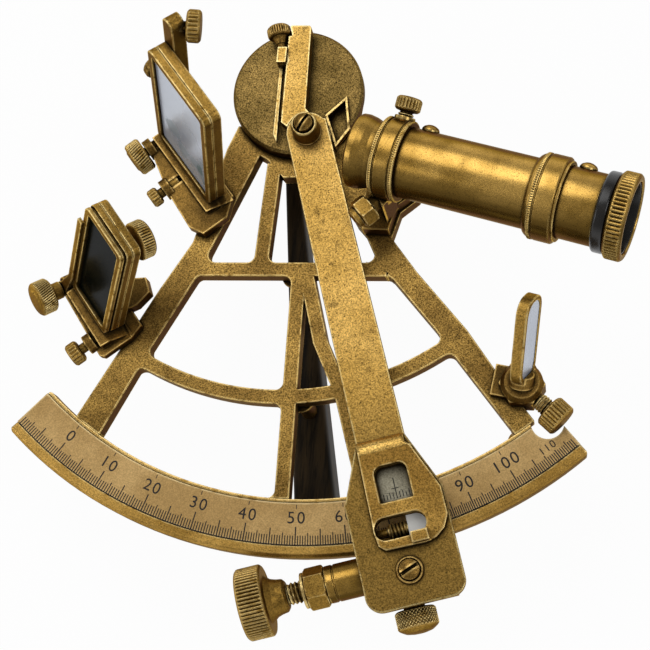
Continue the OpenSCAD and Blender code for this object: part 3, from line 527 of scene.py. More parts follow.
# Paler copy of the foot's brass for the bend: a painted highlight
LIT_BEND_BRASS = brass("bend_brass_painted_highlight", (238, 200, 118), (204, 164, 86), (252, 226, 156), reach=2.2,
                   side_patina_and_shade=0.0, edge=0.5, rough=0.24)
DISC_BRASS = brass("mottled_disc_brass", (146, 119, 66), (98, 79, 39), (236, 202, 128),
                   speck=0.8, side_patina_and_shade=0.9, edge=1.0, sandy=1.4)
FRAME_BRASS = brass("cast_brass", (176, 140, 72), (132, 102, 50), (244, 212, 138),
                    side_patina_and_shade=0.94, edge=1.0, sandy=1.4)
DARK_BRASS = brass("darkened_brass", (146, 112, 54), (92, 69, 32), (228, 190, 114),
                   corner_dirt_and_shade=0.95, sandy=0.85)
# The tube's sides darken as patina and painted shade, and near the rings as dirt and painted shade
TUBE_BRASS = brass("tube_brass", (232, 186, 98), (166, 128, 56), (250, 218, 140), speck=0.5,
                   rough=0.19, side_patina_and_shade=0.97, edge=0.8, bump=0.14, sandy=0.35,
                   side_shade_ramp=(0.98, 0.58), reach=9, corner_dirt_and_shade=0.95)
LIMB_BRASS = brass("limb_brass", (204, 162, 84), (164, 126, 58), (250, 220, 150), speck=0.5,
                   side_patina_and_shade=0.85, edge=1.0, sandy=0.6)
SCALE_BRASS = brass("scale_brass", (206, 171, 114), (182, 148, 94), (240, 212, 156),
                    speck=0.2, corner_dirt_and_shade=0.7, metal=0.7, bump=0.2, side_patina_and_shade=0.85, sandy=0.35)
SILVERED = brass("silvered_plate", (176, 170, 148), (112, 106, 88), (190, 184, 160),
                 speck=0.6, metal=0.5, reach=3, edge=0.3, sandy=0.5)


def wood(name):
    """Dark oiled wood: stretched grain rings broken by fine pores."""
    f = Finish(name)
    bands = f.noise(90, 5, 0.6, stretch=(3.0, 0.25, 3.0))
    pores = f.ramp(f.noise(900, 2, 0.5, stretch=(1, 0.08, 1)), 0.55, 0.68)
    tone = f.mix(f.ramp(bands, 0.35, 0.65), srgb(22, 17, 10), srgb(58, 45, 26))
    tone = f.mix(pores * 0.6, tone, srgb(10, 8, 6))
    f.set("Base Color", tone)
    f.set("Roughness", bands * 0.2 + 0.5)
    f.set("Specular IOR Level", 0.12)
    f.bump(bands * 0.5 - pores * 0.5, 0.3, 0.15)
    return f.material


def gloss_black(name):
    """Polished black ring with faint dust and fine turning lines."""
    f = Finish(name)
    dust = f.noise(240, 4, 0.6)
    f.set("Base Color", f.mix(f.ramp(dust, 0.5, 0.8) * 0.3, srgb(20, 17, 14),
                              srgb(46, 40, 34)))
    f.set("Roughness", dust * 0.2 + 0.16)
    f.bump(f.noise(800, 2, 0.5), 0.1, 0.05)
    return f.material


def enamel(name):
    """White enamel with faint yellow stains."""
    f = Finish(name)
    stain = f.noise(260, 4, 0.6)
    f.set("Base Color", f.mix(f.ramp(stain, 0.5, 0.75) * 0.35, srgb(250, 250, 246),
                              srgb(214, 208, 190)))
    f.set("Roughness", stain * 0.25 + 0.25)
    f.bump(stain, 0.1, 0.05)
    return f.material


GLASS_Y, WANDER = 1.2, 0.011
# Stains on the large mirror's glass: their middles and how far they reach, in metres
STAINS = [((mirror_frame() @ (x, GLASS_Y, z, 1))[:3] * MM, r * MM)
          for x, z, r in ((-7, 21, 5.0), (-1, 14, 4.6), (8, 17, 4.2), (14, 13, 4.6),
                          (13, 23, 2.6), (20, 9, 5.0))]


def mirror(name):
    """Silvered glass, pale and a little cloudy. Green stains lie round the middles in STAINS,
    and a noise makes their rims wander."""
    f = Finish(name)
    haze = f.noise(26, 3, 0.5)
    wander = f.noise(170, 4, 0.6) * WANDER
    stains = 0.0
    for corner, reach in STAINS:
        apart = f.node("ShaderNodeVectorMath", {"operation": "DISTANCE"},
                       {0: f.place, 1: corner}, "Value") + wander
        stains = f.ramp(apart, reach + 0.0062, reach + 0.0046) * 0.5 + stains
    spots = f.ramp(f.noise(260, 3, 0.5), 0.66, 0.72)
    tone = f.mix(f.ramp(haze, 0.3, 0.7), srgb(176, 183, 197), srgb(194, 201, 213))
    tone = f.mix(stains.clamped() * 0.9, tone, srgb(84, 104, 100))
    tone = f.mix(spots * 0.3, tone, srgb(120, 128, 126))
    f.set("Base Color", tone)
    f.set("Metallic", 0.35)
    f.set("Roughness", stains * 0.25 + haze * 0.1 + 0.22)
    f.bump(stains + haze, 0.05, 0.05)
    return f.material


def shade_tint(name):
    """Dark tinted filter glass with faint haze and dust."""
    f = Finish(name)
    haze = f.noise(60, 4, 0.6)
    dust = f.ramp(f.noise(700, 2, 0.5), 0.66, 0.74)
    tone = f.mix(f.ramp(haze, 0.35, 0.7), srgb(3, 6, 5), srgb(9, 13, 10))
    f.set("Base Color", f.mix(dust * 0.3, tone, srgb(44, 46, 38)))
    f.set("Roughness", haze * 0.15 + 0.1)
    f.set("IOR", 1.07)
    f.bump(haze + dust, 0.05, 0.05)
    return f.material


def lens_glass(name):
    """Clear glass with a thin haze of dust."""
    f = Finish(name)
    haze = f.noise(180, 4, 0.6)
    f.set("Base Color", f.mix(haze, srgb(214, 222, 226), srgb(236, 240, 242)))
    f.set("Roughness", haze * 0.08 + 0.02)
    f.set("Transmission Weight", 0.9)
    f.set("IOR", 1.5)
    f.bump(haze, 0.03, 0.05)
    return f.material


def engraving(name, tone):
    """Dark filling of the engraved marks, paler where it is worn."""
    f = Finish(name)
    wear = f.noise(500, 3, 0.6)
    f.set("Base Color", f.mix(f.ramp(wear, 0.55, 0.8) * 0.3, tone, srgb(96, 74, 44)))
    f.set("Roughness", wear * 0.2 + 0.5)
    f.bump(wear, 0.1, 0.05)
    return f.material


WOOD = wood("dark_oiled_wood")
BLACK = gloss_black("polished_black")
ENAMEL = enamel("white_enamel")
MIRROR = mirror("silvered_mirror_glass")
SHADE_GLASS = shade_tint("dark_filter_glass")
LENS = lens_glass("lens_glass")
INK = engraving("filled_engraving", srgb(18, 11, 8))


# Camera and light, in metres and watts

# The camera was fitted to the photograph
CAMERA_AT = (0.1092767, -0.2277627, 0.6320533)
CAMERA_RIGHT = (0.98623312, 0.06970773, -0.14995021)
CAMERA_UP = (-0.02863778, 0.96510368, 0.26029747)
CAMERA_BACK = (0.16286225, -0.25241975, 0.95381348)
FOCAL_PX, PICTURE_PX, SENSOR = 1570.54, 650, 36.0


def camera_like_photo():
    """Pinhole camera in the place that the photo was taken from, with its focal length."""
    data = bpy.data.cameras.new("camera")
    data.sensor_width = SENSOR
    data.lens = SENSOR * FOCAL_PX / PICTURE_PX
    data.clip_start = 0.01
    camera = bpy.data.objects.new("camera", data)
    rows = Matrix((CAMERA_RIGHT, CAMERA_UP, CAMERA_BACK)).transposed().to_4x4()
    rows.translation = Vector(CAMERA_AT)
    camera.matrix_world = rows
    bpy.context.scene.collection.objects.link(camera)
    bpy.context.scene.camera = camera


LAMPS_AIM = (0, -0.05, 0.05)
LAMPS = (("key", (-0.20, 0.45, 0.95), 0.7, 3.05),
         ("fill", (0.60, -0.20, 0.80), 0.4, 1.35),
         ("left_fill", (-0.60, -0.30, 0.60), 0.4, 1.05))


def area_lamp(name, place, size, power):
    """Square lamp that looks at the middle of the instrument."""
    data = bpy.data.lights.new(name, "AREA")
    data.shape = "RECTANGLE"
    data.size = data.size_y = size
    data.energy = power
    lamp = bpy.data.objects.new(name, data)
    lamp.location = place
    aim = Vector(LAMPS_AIM) - Vector(place)
    lamp.rotation_euler = aim.to_track_quat("-Z", "Y").to_euler()
    bpy.context.scene.collection.objects.link(lamp)


FLOOR_REACH, FLOOR_GLOW = 3, 0.96


def white_floor():
    """White floor that keeps a soft shadow. It is plain white, and so glows, only to the rays
    that come straight from the camera or from a reflection."""
    mesh = bpy.data.meshes.new("floor")
    mesh.from_pydata([(x * FLOOR_REACH, y * FLOOR_REACH, 0)
                      for x, y in ((-1, -1), (1, -1), (1, 1), (-1, 1))], [], [(0, 1, 2, 3)])
    floor = bpy.data.objects.new("floor", mesh)
    bpy.context.scene.collection.objects.link(floor)
    f = Finish("floor_white")
    f.set("Base Color", (0.93, 0.93, 0.93))
    f.set("Roughness", 0.9)
    rays = f.tree.nodes.new("ShaderNodeLightPath")
    seen = [Value(f.tree, rays.outputs[kind + " Ray"])
            for kind in ("Is Camera", "Is Glossy", "Is Transmission")]
    glow = f.tree.nodes.new("ShaderNodeEmission")
    glow.inputs["Color"].default_value = (1, 1, 1, 1)
    blend = f.tree.nodes.new("ShaderNodeMixShader")
    f.tree.links.new((sum(seen).clamped() * FLOOR_GLOW).socket, blend.inputs[0])
    f.tree.links.new(f.shader.outputs[0], blend.inputs[1])
    f.tree.links.new(glow.outputs[0], blend.inputs[2])
    f.tree.links.new(blend.outputs[0], f.tree.nodes["Material Output"].inputs[0])
    mesh.materials.append(f.material)


def surround():
    """Pale world, darker overhead, so that polished pieces show a gradient."""
    world = bpy.data.worlds.new("studio")
    world.use_nodes = True
    bpy.context.scene.world = world
    tree = world.node_tree
    back = tree.nodes["Background"]
    back.inputs["Strength"].default_value = 1.0
    coord = tree.nodes.new("ShaderNodeTexCoord")
    split = tree.nodes.new("ShaderNodeSeparateXYZ")
    tree.links.new(coord.outputs["Generated"], split.inputs[0])
    ramp = tree.nodes.new("ShaderNodeMapRange")
    ramp.interpolation_type = "SMOOTHSTEP"
    for name, level in (("From Min", 0.05), ("From Max", 0.5), ("To Min", 0.96),
                        ("To Max", 0.3)):
        ramp.inputs[name].default_value = level
    tree.links.new(split.outputs["Z"], ramp.inputs["Value"])
    shade = tree.nodes.new("ShaderNodeCombineColor")
    for socket in shade.inputs[:3]:
        tree.links.new(ramp.outputs["Result"], socket)
    tree.links.new(shade.outputs[0], back.inputs["Color"])


# Turned pieces

CHAMFER, HEAD_STEP, KNURL_MARGIN, KNURL_REACH = 0.8, 0.4, 0.495, 1.2


def knob(node, place, before, d, low, h, after, teeth, depth=0.45, material=BRASS, slant=0.0,
         crossed=False, extra=()):
    """Turned knob: profile before its knurled head, the head of diameter d from low to
    low + h, and what follows it."""
    r, high = d / 2, low + h
    points = [*before, (r - CHAMFER, low), (r, low + CHAMFER), (r, high - CHAMFER),
              (r - CHAMFER, high), *after]
    relief = knurl(teeth, low + KNURL_MARGIN, high - KNURL_MARGIN, depth, slant, crossed,
                   r - KNURL_REACH)
    shell = turned(rounded(points, 0.3, steps=3), teeth * 6, shape=relief, step=HEAD_STEP)
    return turned_piece(node, place, [shell, *extra], material)


def screws_and_knobs():
    knob("tail_screw", chain(DECK, shift(-14.7, 43, 12.6), turn("z", -75.3), turn("y", 90)),
         [(0, -2.3)], 9.6, -2.3, 4.6,
         [(3.3, 2.4), (2.6, 3.3), (2.2, 4.6), (1.9, 5.3), (1.6, 5.4), (1.6, 12.7), (0, 12.7)],
         28, 0.4, DARK_BRASS)
    knob("clamp_knob", chain(ARM, shift(-2.8, -186.3, 1), turn("x", 90)),
         [(0, -2.6), (2.5, -2.6), (2.5, 0), (4, 0), (4, 1.6)], 15.6, 1.6, 7.2,
         [(6.2, 9.3), (5, 10), (2.6, 10.5), (0.3, 10.6), (0, 10.6)], 34, 0.5, BRASS,
         slant=7.5, crossed=True)
    knob("tangent_screw", TANGENT,
         [(0, -62.6), (10.3, -62.6), (10.7, -64.2), (11.2, -64.6)], 27, -64.6, 10,
         [(9, -54.6), (8.2, -53.6), (7.2, -52.4), (6.6, -50.6), (6.2, -48.2), (5, -47.2),
          (3.6, -47.2), (3.6, -46), (0, -46)], 60, 0.5, BRASS,
         extra=[thread(4.2, 1.6, -47.4, -7.6, 0.75)])
    knob("collar_screw", chain(TUBE_SIDE, shift(-13.8, 0, -5), turn("y", -90)),
         [(0, 0), (2, 0), (2, 3.1), (3, 3.1), (3, 3.7), (2.4, 4), (2.4, 4.3), (3.3, 4.8)],
         10, 4.8, 5.2, [(3, 10.2), (0.3, 10.25), (0, 10.25)], 22, 0.4)
    knob("mirror_post_screw", chain(mirror_frame(), shift(-15.9, 10.4, 74.4), turn("z", 52),
                                    turn("y", 90)),
         [(0, -1), (1.6, -1), (1.6, 4.6)], 12, 4.6, 5.2, [(0, 9.8)], 22, 0.45)
    knob("mirror_side_screw", chain(mirror_frame(), shift(-14.4, 5.5, 40), turn("y", -90)),
         [(0, 0), (1.6, 0), (1.6, 7.8)], 10.4, 7.8, 3.8, [(0, 11.6)], 18, 0.4, DARK_BRASS)
    knob("mirror_tilt_knob", chain(mirror_frame(0), shift(-18, -7.8, -4.6), turn("x", 90)),
         [(0, -7.4), (2, -7.4), (2, 0)], 14, 0, 6.4, [(4.6, 6.6), (4, 7), (0, 7.1)],
         38, 0.45, slant=1.5)
    knob("mirror_adjuster", chain(mirror_frame(0), shift(0.5, -11.9, -4.6), turn("x", 90)),
         [(0, -8), (2, -8), (2, 1.4)], 7.6, 1.4, 4.4, [(0, 5.8)], 16, 0.35)
    knob("shade_back_knob", chain(shade_frame(), shift(2, 8.6, 43.5), turn("x", -90)),
         [(0, -2.4), (2, -2.4), (2, 0.3), (2.5, 0.3), (2.5, 5)], 15, 5, 6,
         [(5, 11.1), (0, 11.1)], 42, 0.45)
    knob("shade_tilt_knob", chain(shade_frame(), shift(-17, -1.8, -8), turn("x", 90)),
         [(0, 5.4), (1.85, 5.4), (1.85, 0), (3.5, 0), (3.5, 4.4)], 14, 4.4, 6.8,
         [(4.6, 11.4), (4, 11.8), (0, 11.8)], 46, 0.42, slant=2.0)
    knob("shade_adjuster", chain(shade_frame(0), shift(10, -8.7, -4.4), turn("x", 90)),
         [(0, -8), (2, -8), (2, 2.4)], 9.4, 2.4, 5, [(0, 7.4)], 18, 0.4)
    knob("small_mirror_screw", chain(DECK, shift(87, -96, 2), turn("z", -41), turn("y", 90)),
         [(0, 2), (2.5, 2), (2.5, 13.2)], 12.8, 13.2, 7.4, [(3.8, 20.8), (0, 20.9)], 26,
         0.45, extra=[thread(3.5, 1.2, 8.6, 13.4, 0.5)])


def small_turned_pieces():
    turned_piece("pivot_collar", chain(DECK, shift(0, 0, BEARING_TOP)), [turned(rounded(
        [(2.2, 0), (5.8, 0), (5.3, 0.9), (5.2, 8.2), (4.8, 9), (4.0, 9), (3.9, 7),
         (2.2, 7)], 0.4, True), 64, True)], BRASS)
    turned_piece("vernier_screw", chain(ARM, shift(-12, -159.4, 8), turn("y", 90)),
                 [turned(rounded([(0, -1.2), (1.5, -1.2), (1.5, 23.8), (0, 23.8)], 0.3), 32),
                  thread(3.2, 1.35, 6.9, 14.3, 0.75)], BRASS)
    turned_piece("lock_nut", TANGENT, [
        hexagon(16, -40, -32, bore=4.25),
        turned(rounded([(4.25, -41.2), (6.7, -41.2), (6.7, -40), (4.25, -40)], 0.3, True),
               72, True)], BRASS, sharp=HEX_SMOOTH)
    turned_piece("barrel", TANGENT, [turned(rounded(
        [(4.25, -32), (6.9, -32), (7, -31.2), (7, -29.2), (6.7, -29), (6.7, -28.5),
         (7, -28.3), (7, -2), (4.25, -2)], 0.25, True), 80, True)], TUBE_BRASS)
    turned_piece("bracket_bolt", chain(DECK, shift(24.5, -36, 21.2), turn("z", 42),
                                       turn("y", 90)),
                 [hexagon(12, -1, 5),
                  turned(rounded([(0, -3.4), (3.6, -3.4), (4, -2.9), (4, -0.9), (0, -0.9)],
                                 0.4), 48),
                  turned([(0, 4.8), (3, 4.8), (3, 12.6), (0, 12.6)], 40)], BRASS, sharp=HEX_SMOOTH)
    leg = [(0, 0), (4.4, 0), (5, 0.8), (5, 3.2), (4, 4.4), (3, 7), (2.6, 22.5), (3, 40)]
    for node, flange, spots in (("pivot_leg", 8.5, [(0, 0)]),
                                ("arc_legs", 3.5, [(-99, -114), (85, -108)])):
        profile = rounded(leg + [(flange, 43), (flange, 45), (0, 45)], 0.5)
        shells = [(v + np.array([x, y, 0]), f) for x, y in spots
                  for v, f in [turned(profile, 64)]]
        turned_piece(node, np.eye(4), shells, BRASS)


def moved(shell, place):
    verts, faces = shell
    return verts @ place[:3, :3].T + place[:3, 3], faces


def stud(radius, at):
    """Domed screw head on the tube's side, sunk a little in the given radius."""
    sunk = 0.7
    place = chain(FROM_SIDE, shift(-radius + sunk, 0, at), turn("y", -90))
    dome = rounded([(0, 0), (3.4, 0), (3.4, 1.3), (2.8, 2.2), (1.4, 2.9), (0.2, 3.1),
                    (0, 3.1)], 0.4)
    return moved(turned(dome, 40), place)


def tube_ring(node, profile, material=TUBE_BRASS, columns=144, extra=(), shape=None,
              step=None, soft=0.3):
    return turned_piece(node, TUBE, [turned(rounded(profile, soft, True), columns, True,
                                            shape, step), *extra], material)


def telescope():
    tube_ring("objective_cell",
              [(11.6, -16.5), (12.4, -16.6), (12.5, -20.6), (13.2, -20.7), (14.2, -19.9),
               (14.3, -17.7), (13.8, -15.1), (12.9, -12.7), (12.7, -10), (11.6, -10)],
              columns=128)
    boss = moved(turned(rounded([(0, 0), (4, 0), (4, 4), (0, 4)], 0.3), 40),
                 chain(FROM_SIDE, shift(-16.5, 0, -5), turn("y", 90)))
    front, back = knurl(110, -9.7, -8.5, 0.3, above=15.3), knurl(110, -1.5, -0.3, 0.3, above=15.3)
    tube_ring("telescope_collar",
              [(TUBE_R, -10), (15.3, -10), (15.6, -9.7), (15.6, -8.5), (15.1, -8.3),
               (15.1, -7.9), (15.5, -7.6), (15.5, -2.4), (15.1, -2.1), (15.1, -1.7),
               (15.6, -1.5), (15.6, -0.3), (15.3, 0), (TUBE_R, 0)],
              columns=440, extra=[boss], soft=0.15, step=0.4,
              shape=lambda r, a, z: back(front(r, a, z), a, z))
    tube_ring("main_tube", [(12.3, -10), (TUBE_R, -10), (TUBE_R, 54), (12.3, 54)],
              extra=[stud(TUBE_R, 6)])
    tube_ring("rear_ring",
              [(DRAW_R, 50), (14.6, 50), (15.2, 50.7), (15.7, 51.6), (15.7, 51.9),
               (16.25, 52.1), (16.25, 53.3), (15.8, 53.5), (15.8, 53.9), (16.2, 54.2),
               (16.2, 60.3), (15.8, 60.8), (15.2, 61), (15.1, 61.9), (13.6, 62)],
              columns=440, shape=knurl(110, 52, 53.4, 0.35, above=15.9), step=0.4, soft=0.15)
    tube_ring("draw_tube",
              [(11, 27), (12.25, 27), (12.25, 56), (DRAW_R, 56), (DRAW_R, 75.5),
               (11, 75.5)],
              extra=[stud(DRAW_R, 67)])
    tube_ring("black_ring",
              [(11, 75.5), (14.6, 75.5), (15.1, 76.2), (15.1, 79.3), (14.6, 80), (11, 80)],
              BLACK, soft=0.5)
    ribs = knurl(64, 81, 86.2, 0.55, above=14.5)
    tube_ring("eyepiece_ring",
              [(10, 72), (10.95, 72), (10.95, 80.1), (15.3, 80.1), (16.3, 81), (16.3, 86.1),
               (15.5, 87), (13.6, 87), (13.4, 86.4), (13.4, 81.6), (10, 81.6)],
              columns=384, shape=ribs, step=0.5)
    lining = mesh_object("eyepiece_lining", [turned(rounded(
        [(13.32, 81.7), (13.32, 86.3), (12.9, 86.3), (12.6, 82.4), (10.1, 82.4),
         (10.1, 81.7)], 0.15, True), 96, True)], TUBE)
    fitted(lining, "eyepiece_ring", BLACK, False)
    for node, at, r, t, bulge in (("objective_lens", -17.37, 12.39, 1.6, 0.45),
                                  ("eye_lens", 80.6, 9.99, 1.0, 0.6)):
        s = np.linspace(0.02, 1, 9)
        dome = t / 2 + bulge * (1 - s ** 2)
        profile = np.vstack([np.stack([r * s, at - dome], 1),
                             np.stack([r * s, at + dome], 1)[::-1]])
        turned_piece(node, TUBE, [turned(profile, 96)], LENS)


# Castings and plates, whose shapes are the CAD's own with eased edges

OUTER_R, ARC_END, ARC_CORNER = 152, 42.5, 1.8


def upright_at_arc_end(edge):
    """Edges that stand upright at the arc's outer corners and its plain inner corner."""
    a, b = (v.co for v in edge.verts)
    middle = (a + b) / 2
    angle = abs(math.degrees(math.atan2(middle.x, -middle.y)))
    flat = math.hypot(a.x - b.x, a.y - b.y)
    outer = math.hypot(middle.x, middle.y) > OUTER_R * MM or middle.x < 0
    return flat < 0.2 * MM and abs(a.z - b.z) > 1.5 * MM and angle > ARC_END and outer


EASED = {
    # node: material, width of the bevel, edges closed up below this length
    "frame": (FRAME_BRASS, 0.3, 0.12),
    "limb": (LIMB_BRASS, 0.35),
    "scale_plate": (SCALE_BRASS, 0.0),
    "pivot_disc": (DISC_BRASS, 0.2),
    "pivot_bearing": (BRASS, 0.3),
    "handle_brackets": (DARK_BRASS, 0.3),
    "index_arm": (ARM_BRASS, 0.4),
    "arm_tail": (ARM_BRASS, 0.15),
    "pivot_shaft": (BRASS, 0.2),
    "vernier_box": (FOOT_BRASS, 0.35),
    "vernier_plate": (SILVERED, 0.1),
    "index_plate": (ENAMEL, 0.15),
    "foot_block": (DARK_BRASS, 0.3),
    "clamp_jaw": (DARK_BRASS, 0.5),
    "telescope_bracket": (DARK_BRASS, 0.2, 0.12),
    "mirror_base": (DARK_BRASS, 0.2),
    "mirror_front": (BRASS, 0.35),
    "mirror_back": (BRASS, 0.35),
    "mirror_glass": (MIRROR, 0.1),
    "mirror_post": (BRASS, 0.3),
    "shade_base": (DARK_BRASS, 0.2),
    "shade_bezel": (BRASS, 0.2),
    "shade_front": (BRASS, 0.35),
    "shade_back": (BRASS, 0.35),
    "shade_glass": (SHADE_GLASS, 0.1),
    "small_mirror_base": (DARK_BRASS, 0.15, 0.12),
    "small_mirror_frame": (BRASS, 0.35),
    "small_mirror_glass": (MIRROR, 0.1),
    "hinge_pins": (BRASS, 0.2),
}


def castings():
    for node, settings in EASED.items():
        extra = (ARC_CORNER, upright_at_arc_end) if node == "limb" else None
        softened(node, *settings, extra=extra)


def outward(shell):
    """The shell with its faces turned outwards, by the sign of the volume that they enclose."""
    verts, faces = shell
    volume = sum(np.dot(verts[f[0]], np.cross(verts[f[k]], verts[f[k + 1]]))
                 for f in faces for k in range(1, len(f) - 1))
    return (verts, faces) if volume > 0 else (verts, [f[::-1] for f in faces])


def slotted_dome(radius, low, edge, crown, slot, depth, angle):
    """Screw head: z = edge + (crown - edge)(1 - r^2/R^2) over the disc, less the depth of the
    slot, whose walls lean a little. The slot runs at the given angle."""
    half, lean = slot / 2, 0.06
    u = np.unique(np.round(np.concatenate([
        np.sin(np.linspace(-1, 1, 41) * math.pi / 2) * radius * 0.9995,
        [-half - lean, -half, half, half + lean]]), 5))
    span = np.sqrt(radius ** 2 - u ** 2)[:, None]
    t = np.sin(np.linspace(-1, 1, 31) * math.pi / 2)[None, :]
    v = span * t
    r2 = (u[:, None] ** 2 + v ** 2) / radius ** 2
    top = edge + (crown - edge) * (1 - r2) - 0.25 * np.clip(r2 * 8 - 7, 0, 1) ** 2
    top = top - depth * np.clip((half + lean - np.abs(u[:, None])) / lean, 0, 1)
    across, along = u[:, None] + 0 * v, v
    loop_u = np.hstack([across, across[:, ::-1]])
    loop_v = np.hstack([along, along[:, ::-1]])
    loop_z = np.hstack([top, np.full_like(top, low)])
    c, s = math.cos(math.radians(angle)), math.sin(math.radians(angle))
    points = np.stack([loop_v * c - loop_u * s, loop_v * s + loop_u * c, loop_z], -1)
    return outward(skin(points))


def slotted_screws():
    ring = turned(rounded([(3.2, 0), (5, 0), (5, 1.3), (4.6, 1.8), (4.1, 1.8), (3.9, 1),
                           (3.2, 1)], 0.2, True), 80, True)
    head = slotted_dome(3.8, 0.9, 3.1, 4.1, 1.2, 1.5, 20)
    turned_piece("foot_screw", chain(ARM, shift(-0.3, -175.4, ARM_TOP)), [ring, head],
                 DARK_BRASS)
    stem = turned([(2.2, 0), (2.2, 7.2)], 40)
    head = slotted_dome(3.6, 7, 10.5, 11.4, 1.1, 1.6, 60)
    turned_piece("pivot_screw", chain(DECK, shift(0, 0, BEARING_TOP)), [stem, head], DARK_BRASS)


def foot_bend():
    """Bend where the arm's sheet rises to the foot's raised box. Its top climbs from the arm
    as z = a + h (1 - (1 - t)^3), steep at its foot and round at its crest, and ends inside
    the box."""
    start, end, foot, run = -122.6, -131.6, -125.7, 5.0
    y = np.concatenate([[start], np.linspace(-125.2, end, 40)])[:, None]
    t = np.clip((foot - y) / run, 0, 1)
    crest = ARM_TOP - 0.1 + (BOX_TOP - ARM_TOP + 0.24) * (1 - (1 - t) ** 3)
    crest = crest - 0.9 * np.clip(-130.9 - y, 0, 1)
    across = np.linspace(-1, 1, 25)[None, :]
    right = 8.7 + 1.15 * np.clip(-129.5 - y, 0, 3)
    left = -9.15
    x = (left + right) / 2 + (right - left) / 2 * across
    top = crest - 0.35 * np.clip((np.abs(across) - 0.94) / 0.06, 0, 1) ** 2
    low = np.full_like(top, ARM_LOW + 0.1)
    points = np.stack([np.hstack([x, x[:, ::-1]]), np.hstack([y + 0 * x, y + 0 * x]),
                       np.hstack([top, low])], -1)
    bend = mesh_object("foot_bend", [outward(skin(points))], ARM)
    # The bend's brass is paler than the foot's: a painted highlight on its crest
    fitted(bend, "vernier_box", LIT_BEND_BRASS, False)


def handle():
    """Grip: the section |x/a|^n + |z/b|^n = 1, nearly a rectangle, carried along y. Its half
    width a and half depth b grow steadily, and are drawn in on a quarter circle at each end."""
    rows, cols = 96, 72
    s = np.sin(np.linspace(-math.pi / 2, math.pi / 2, rows))[:, None] * 0.5 + 0.5
    a = np.linspace(0, TAU, cols, endpoint=False)[None, :]
    begin, finish, top = -2.45, -145.9, -26.05
    round_end, power = 3.0, 0.3
    y = begin + (finish - begin) * s
    end = np.clip(np.minimum(begin - y, y - finish) / round_end, 0, 1)
    drawn_in = round_end * (1 - np.sqrt(np.clip(1 - (1 - end) ** 2, 0, 1)))
    grown = np.clip((-y - 5) / 138, 0, 1)
    half_w, half_d, middle_x = 3.2 + 5.5 * grown, 9.0 + 1.5 * grown, -12.4 + 19.4 * grown
    c, d = np.cos(a), np.sin(a)
    x = middle_x + (half_w - drawn_in) * np.sign(c) * np.abs(c) ** power
    z = top - half_d + (half_d - drawn_in - 0.05) * np.sign(d) * np.abs(d) ** power
    shell = skin(np.stack([x, y + 0 * a, z], -1))
    fitted(mesh_object("handle_grip", [shell], DECK), "handle", WOOD)


# The scale and the vernier

# Scale values and the angles where the photographed arc shows them, from the arc's middle.
# A label is its digits' height and the radius of its middle, and the notch's is smaller.
SCALE_VALUES = [-10, 0, 10, 20, 30, 40, 50, 60, 70, 80, 90, 100, 110, 120]
SCALE_ANGLES = [-42.9, -35.4, -27.95, -20.4, -12.9, -5.45, 1.75, 8.7, 14.9, 20.8, 26.6, 33.2,
                39.8, 46.4]
NOTCH_VALUE = 110
SCALE_END, LINE_END, LINE_R = 42.6, 42.7, 160.0
MARK_LOW, MARK_TOP = 0.25, 0.33
LABEL, NOTCH_LABEL = (4.5, 149.8), (2.9, 153.6)
SIZE_PER_HEIGHT = 1.42


def slab_shells(corners, low, high):
    """Closed boxes from the arrays of their four corners (count x 4 x 2)."""
    shells = []
    for c in corners:
        lower = np.column_stack([c, np.full(4, low)])
        upper = np.column_stack([c, np.full(4, high)])
        shells.append(skin(np.stack([lower, upper])))
    return shells


def radial_marks(angles, inner, outer, width):
    """Corners of the marks that stand on radii: (r sin a, -r cos a), widened across."""
    a = np.radians(angles)
    out = np.stack([np.sin(a), -np.cos(a)], -1)
    side = np.stack([np.cos(a), np.sin(a)], -1) * np.asarray(width)[..., None] / 2
    inner, outer = np.asarray(inner)[..., None] * out, np.asarray(outer)[..., None] * out
    return np.stack([inner - side, outer - side, outer + side, inner + side], 1)


def digits(text, height):
    """Flat numbers from Blender's own face, as a mesh that is centred on its origin."""
    curve = bpy.data.curves.new("number", "FONT")
    curve.body = text
    curve.align_x, curve.align_y = "CENTER", "CENTER"
    curve.size = height * SIZE_PER_HEIGHT
    curve.space_character = 1.2
    curve.offset = 0.006
    curve.extrude = 0.03
    maker = bpy.data.objects.new("number", curve)
    bpy.context.scene.collection.objects.link(maker)
    mesh = bpy.data.meshes.new_from_object(
        maker.evaluated_get(bpy.context.evaluated_depsgraph_get()))
    verts = np.array([v.co[:] for v in mesh.vertices])
    faces = [list(p.vertices) for p in mesh.polygons]
    bpy.data.objects.remove(maker)
    bpy.data.curves.remove(curve)
    bpy.data.meshes.remove(mesh)
    return verts, faces


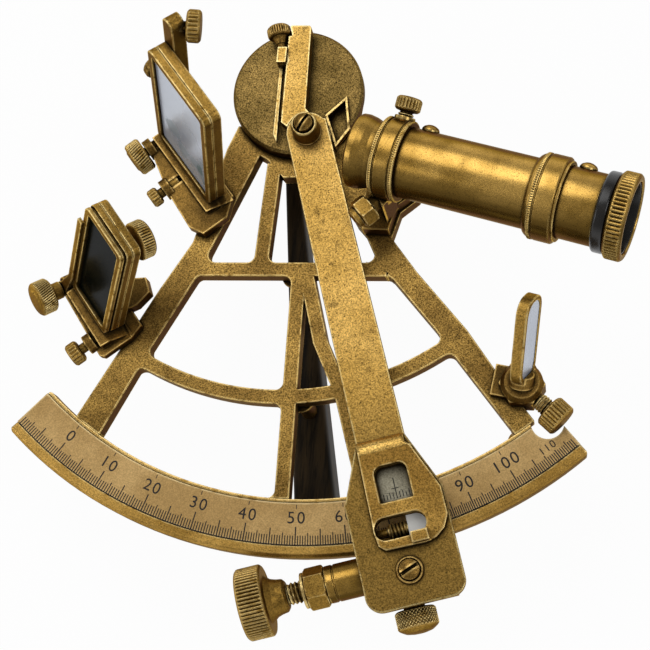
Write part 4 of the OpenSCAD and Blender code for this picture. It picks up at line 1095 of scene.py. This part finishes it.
def scale_marks():
    """Divisions at every half unit, longer at 2.5, 5 and 10, a short mark inside each ten, and
    the numbers."""
    values = np.arange(-11.5, 114.75, 0.5)
    angles = np.interp(values, SCALE_VALUES, SCALE_ANGLES)
    keep = np.abs(angles) < SCALE_END
    values, angles = values[keep], angles[keep]
    tenth = np.isclose(values % 10, 0)
    fifth = np.isclose(values % 5, 0)
    quarter = np.isclose(values % 2.5, 0)
    length = np.select([tenth, fifth, quarter], [7.0, 6.2, 4.7], 3.7)
    length[np.isclose(values, NOTCH_VALUE)] = 4.2
    width = np.select([tenth, fifth], [0.46, 0.42], 0.36)
    shells = slab_shells(radial_marks(angles, LINE_R - length, LINE_R - 0.15, width),
                         MARK_LOW, MARK_TOP)
    tens = angles[tenth & (values >= 0) & (values < NOTCH_VALUE)]
    full = np.ones_like(tens)
    shells += slab_shells(radial_marks(tens, 144.7 * full, 146.2 * full, 0.28 * full),
                          MARK_LOW, MARK_TOP)
    for value, angle in zip(SCALE_VALUES, SCALE_ANGLES):
        if 0 <= value <= NOTCH_VALUE:
            notched = value == NOTCH_VALUE
            height, radius = NOTCH_LABEL if notched else LABEL
            place = chain(turn("z", angle - 0.6 * notched), shift(0, -radius, 0.3))
            shells.append(moved(digits(str(value), height), place))
    marks = mesh_object("scale_divisions", shells, DECK)
    fitted(marks, "scale_plate", INK, replace=False)


def arc_line():
    """Engraved line round the scale's outer edge: a thin band between two radii."""
    a = np.radians(np.linspace(-LINE_END, LINE_END, 240))[:, None]
    r = np.array([LINE_R - 0.35, LINE_R - 0.05, LINE_R - 0.05, LINE_R - 0.35])[None, :]
    z = np.array([MARK_TOP, MARK_TOP, MARK_LOW, MARK_LOW])[None, :] + 0 * a
    points = np.stack([r * np.sin(a), -r * np.cos(a), z], -1)
    fitted(mesh_object("scale_line", [skin(points)], DECK), "scale_plate", INK, False)


def vernier_marks():
    """Index line and worn graduations on the silvered plate behind the window, as boxes from
    (x0, y0) to (x1, y1)."""
    rows = [[0.9, -148.4, 1.25, -140.6], [-0.4, -144.7, 2.4, -144.4]]
    for k in range(-4, 5):
        if k:
            x, worn = 1.1 + k * 1.2, 0.5 * (k % 3 == 0)
            rows.append([x - 0.15, -148.3, x + 0.15, -145.9 - worn])
    corners = np.array([[(x0, y0), (x1, y0), (x1, y1), (x0, y1)] for x0, y0, x1, y1 in rows])
    marks = mesh_object("vernier_divisions",
                        slab_shells(corners, ARM_LOW - 0.1, ARM_LOW + 0.03), ARM)
    fitted(marks, "vernier_plate", INK, False)


camera_like_photo()
white_floor()
surround()
for lamp in LAMPS:
    area_lamp(*lamp)
bpy.context.scene.view_settings.view_transform = "Standard"
castings()
screws_and_knobs()
small_turned_pieces()
telescope()
handle()
slotted_screws()
foot_bend()
scale_marks()
arc_line()
vernier_marks()
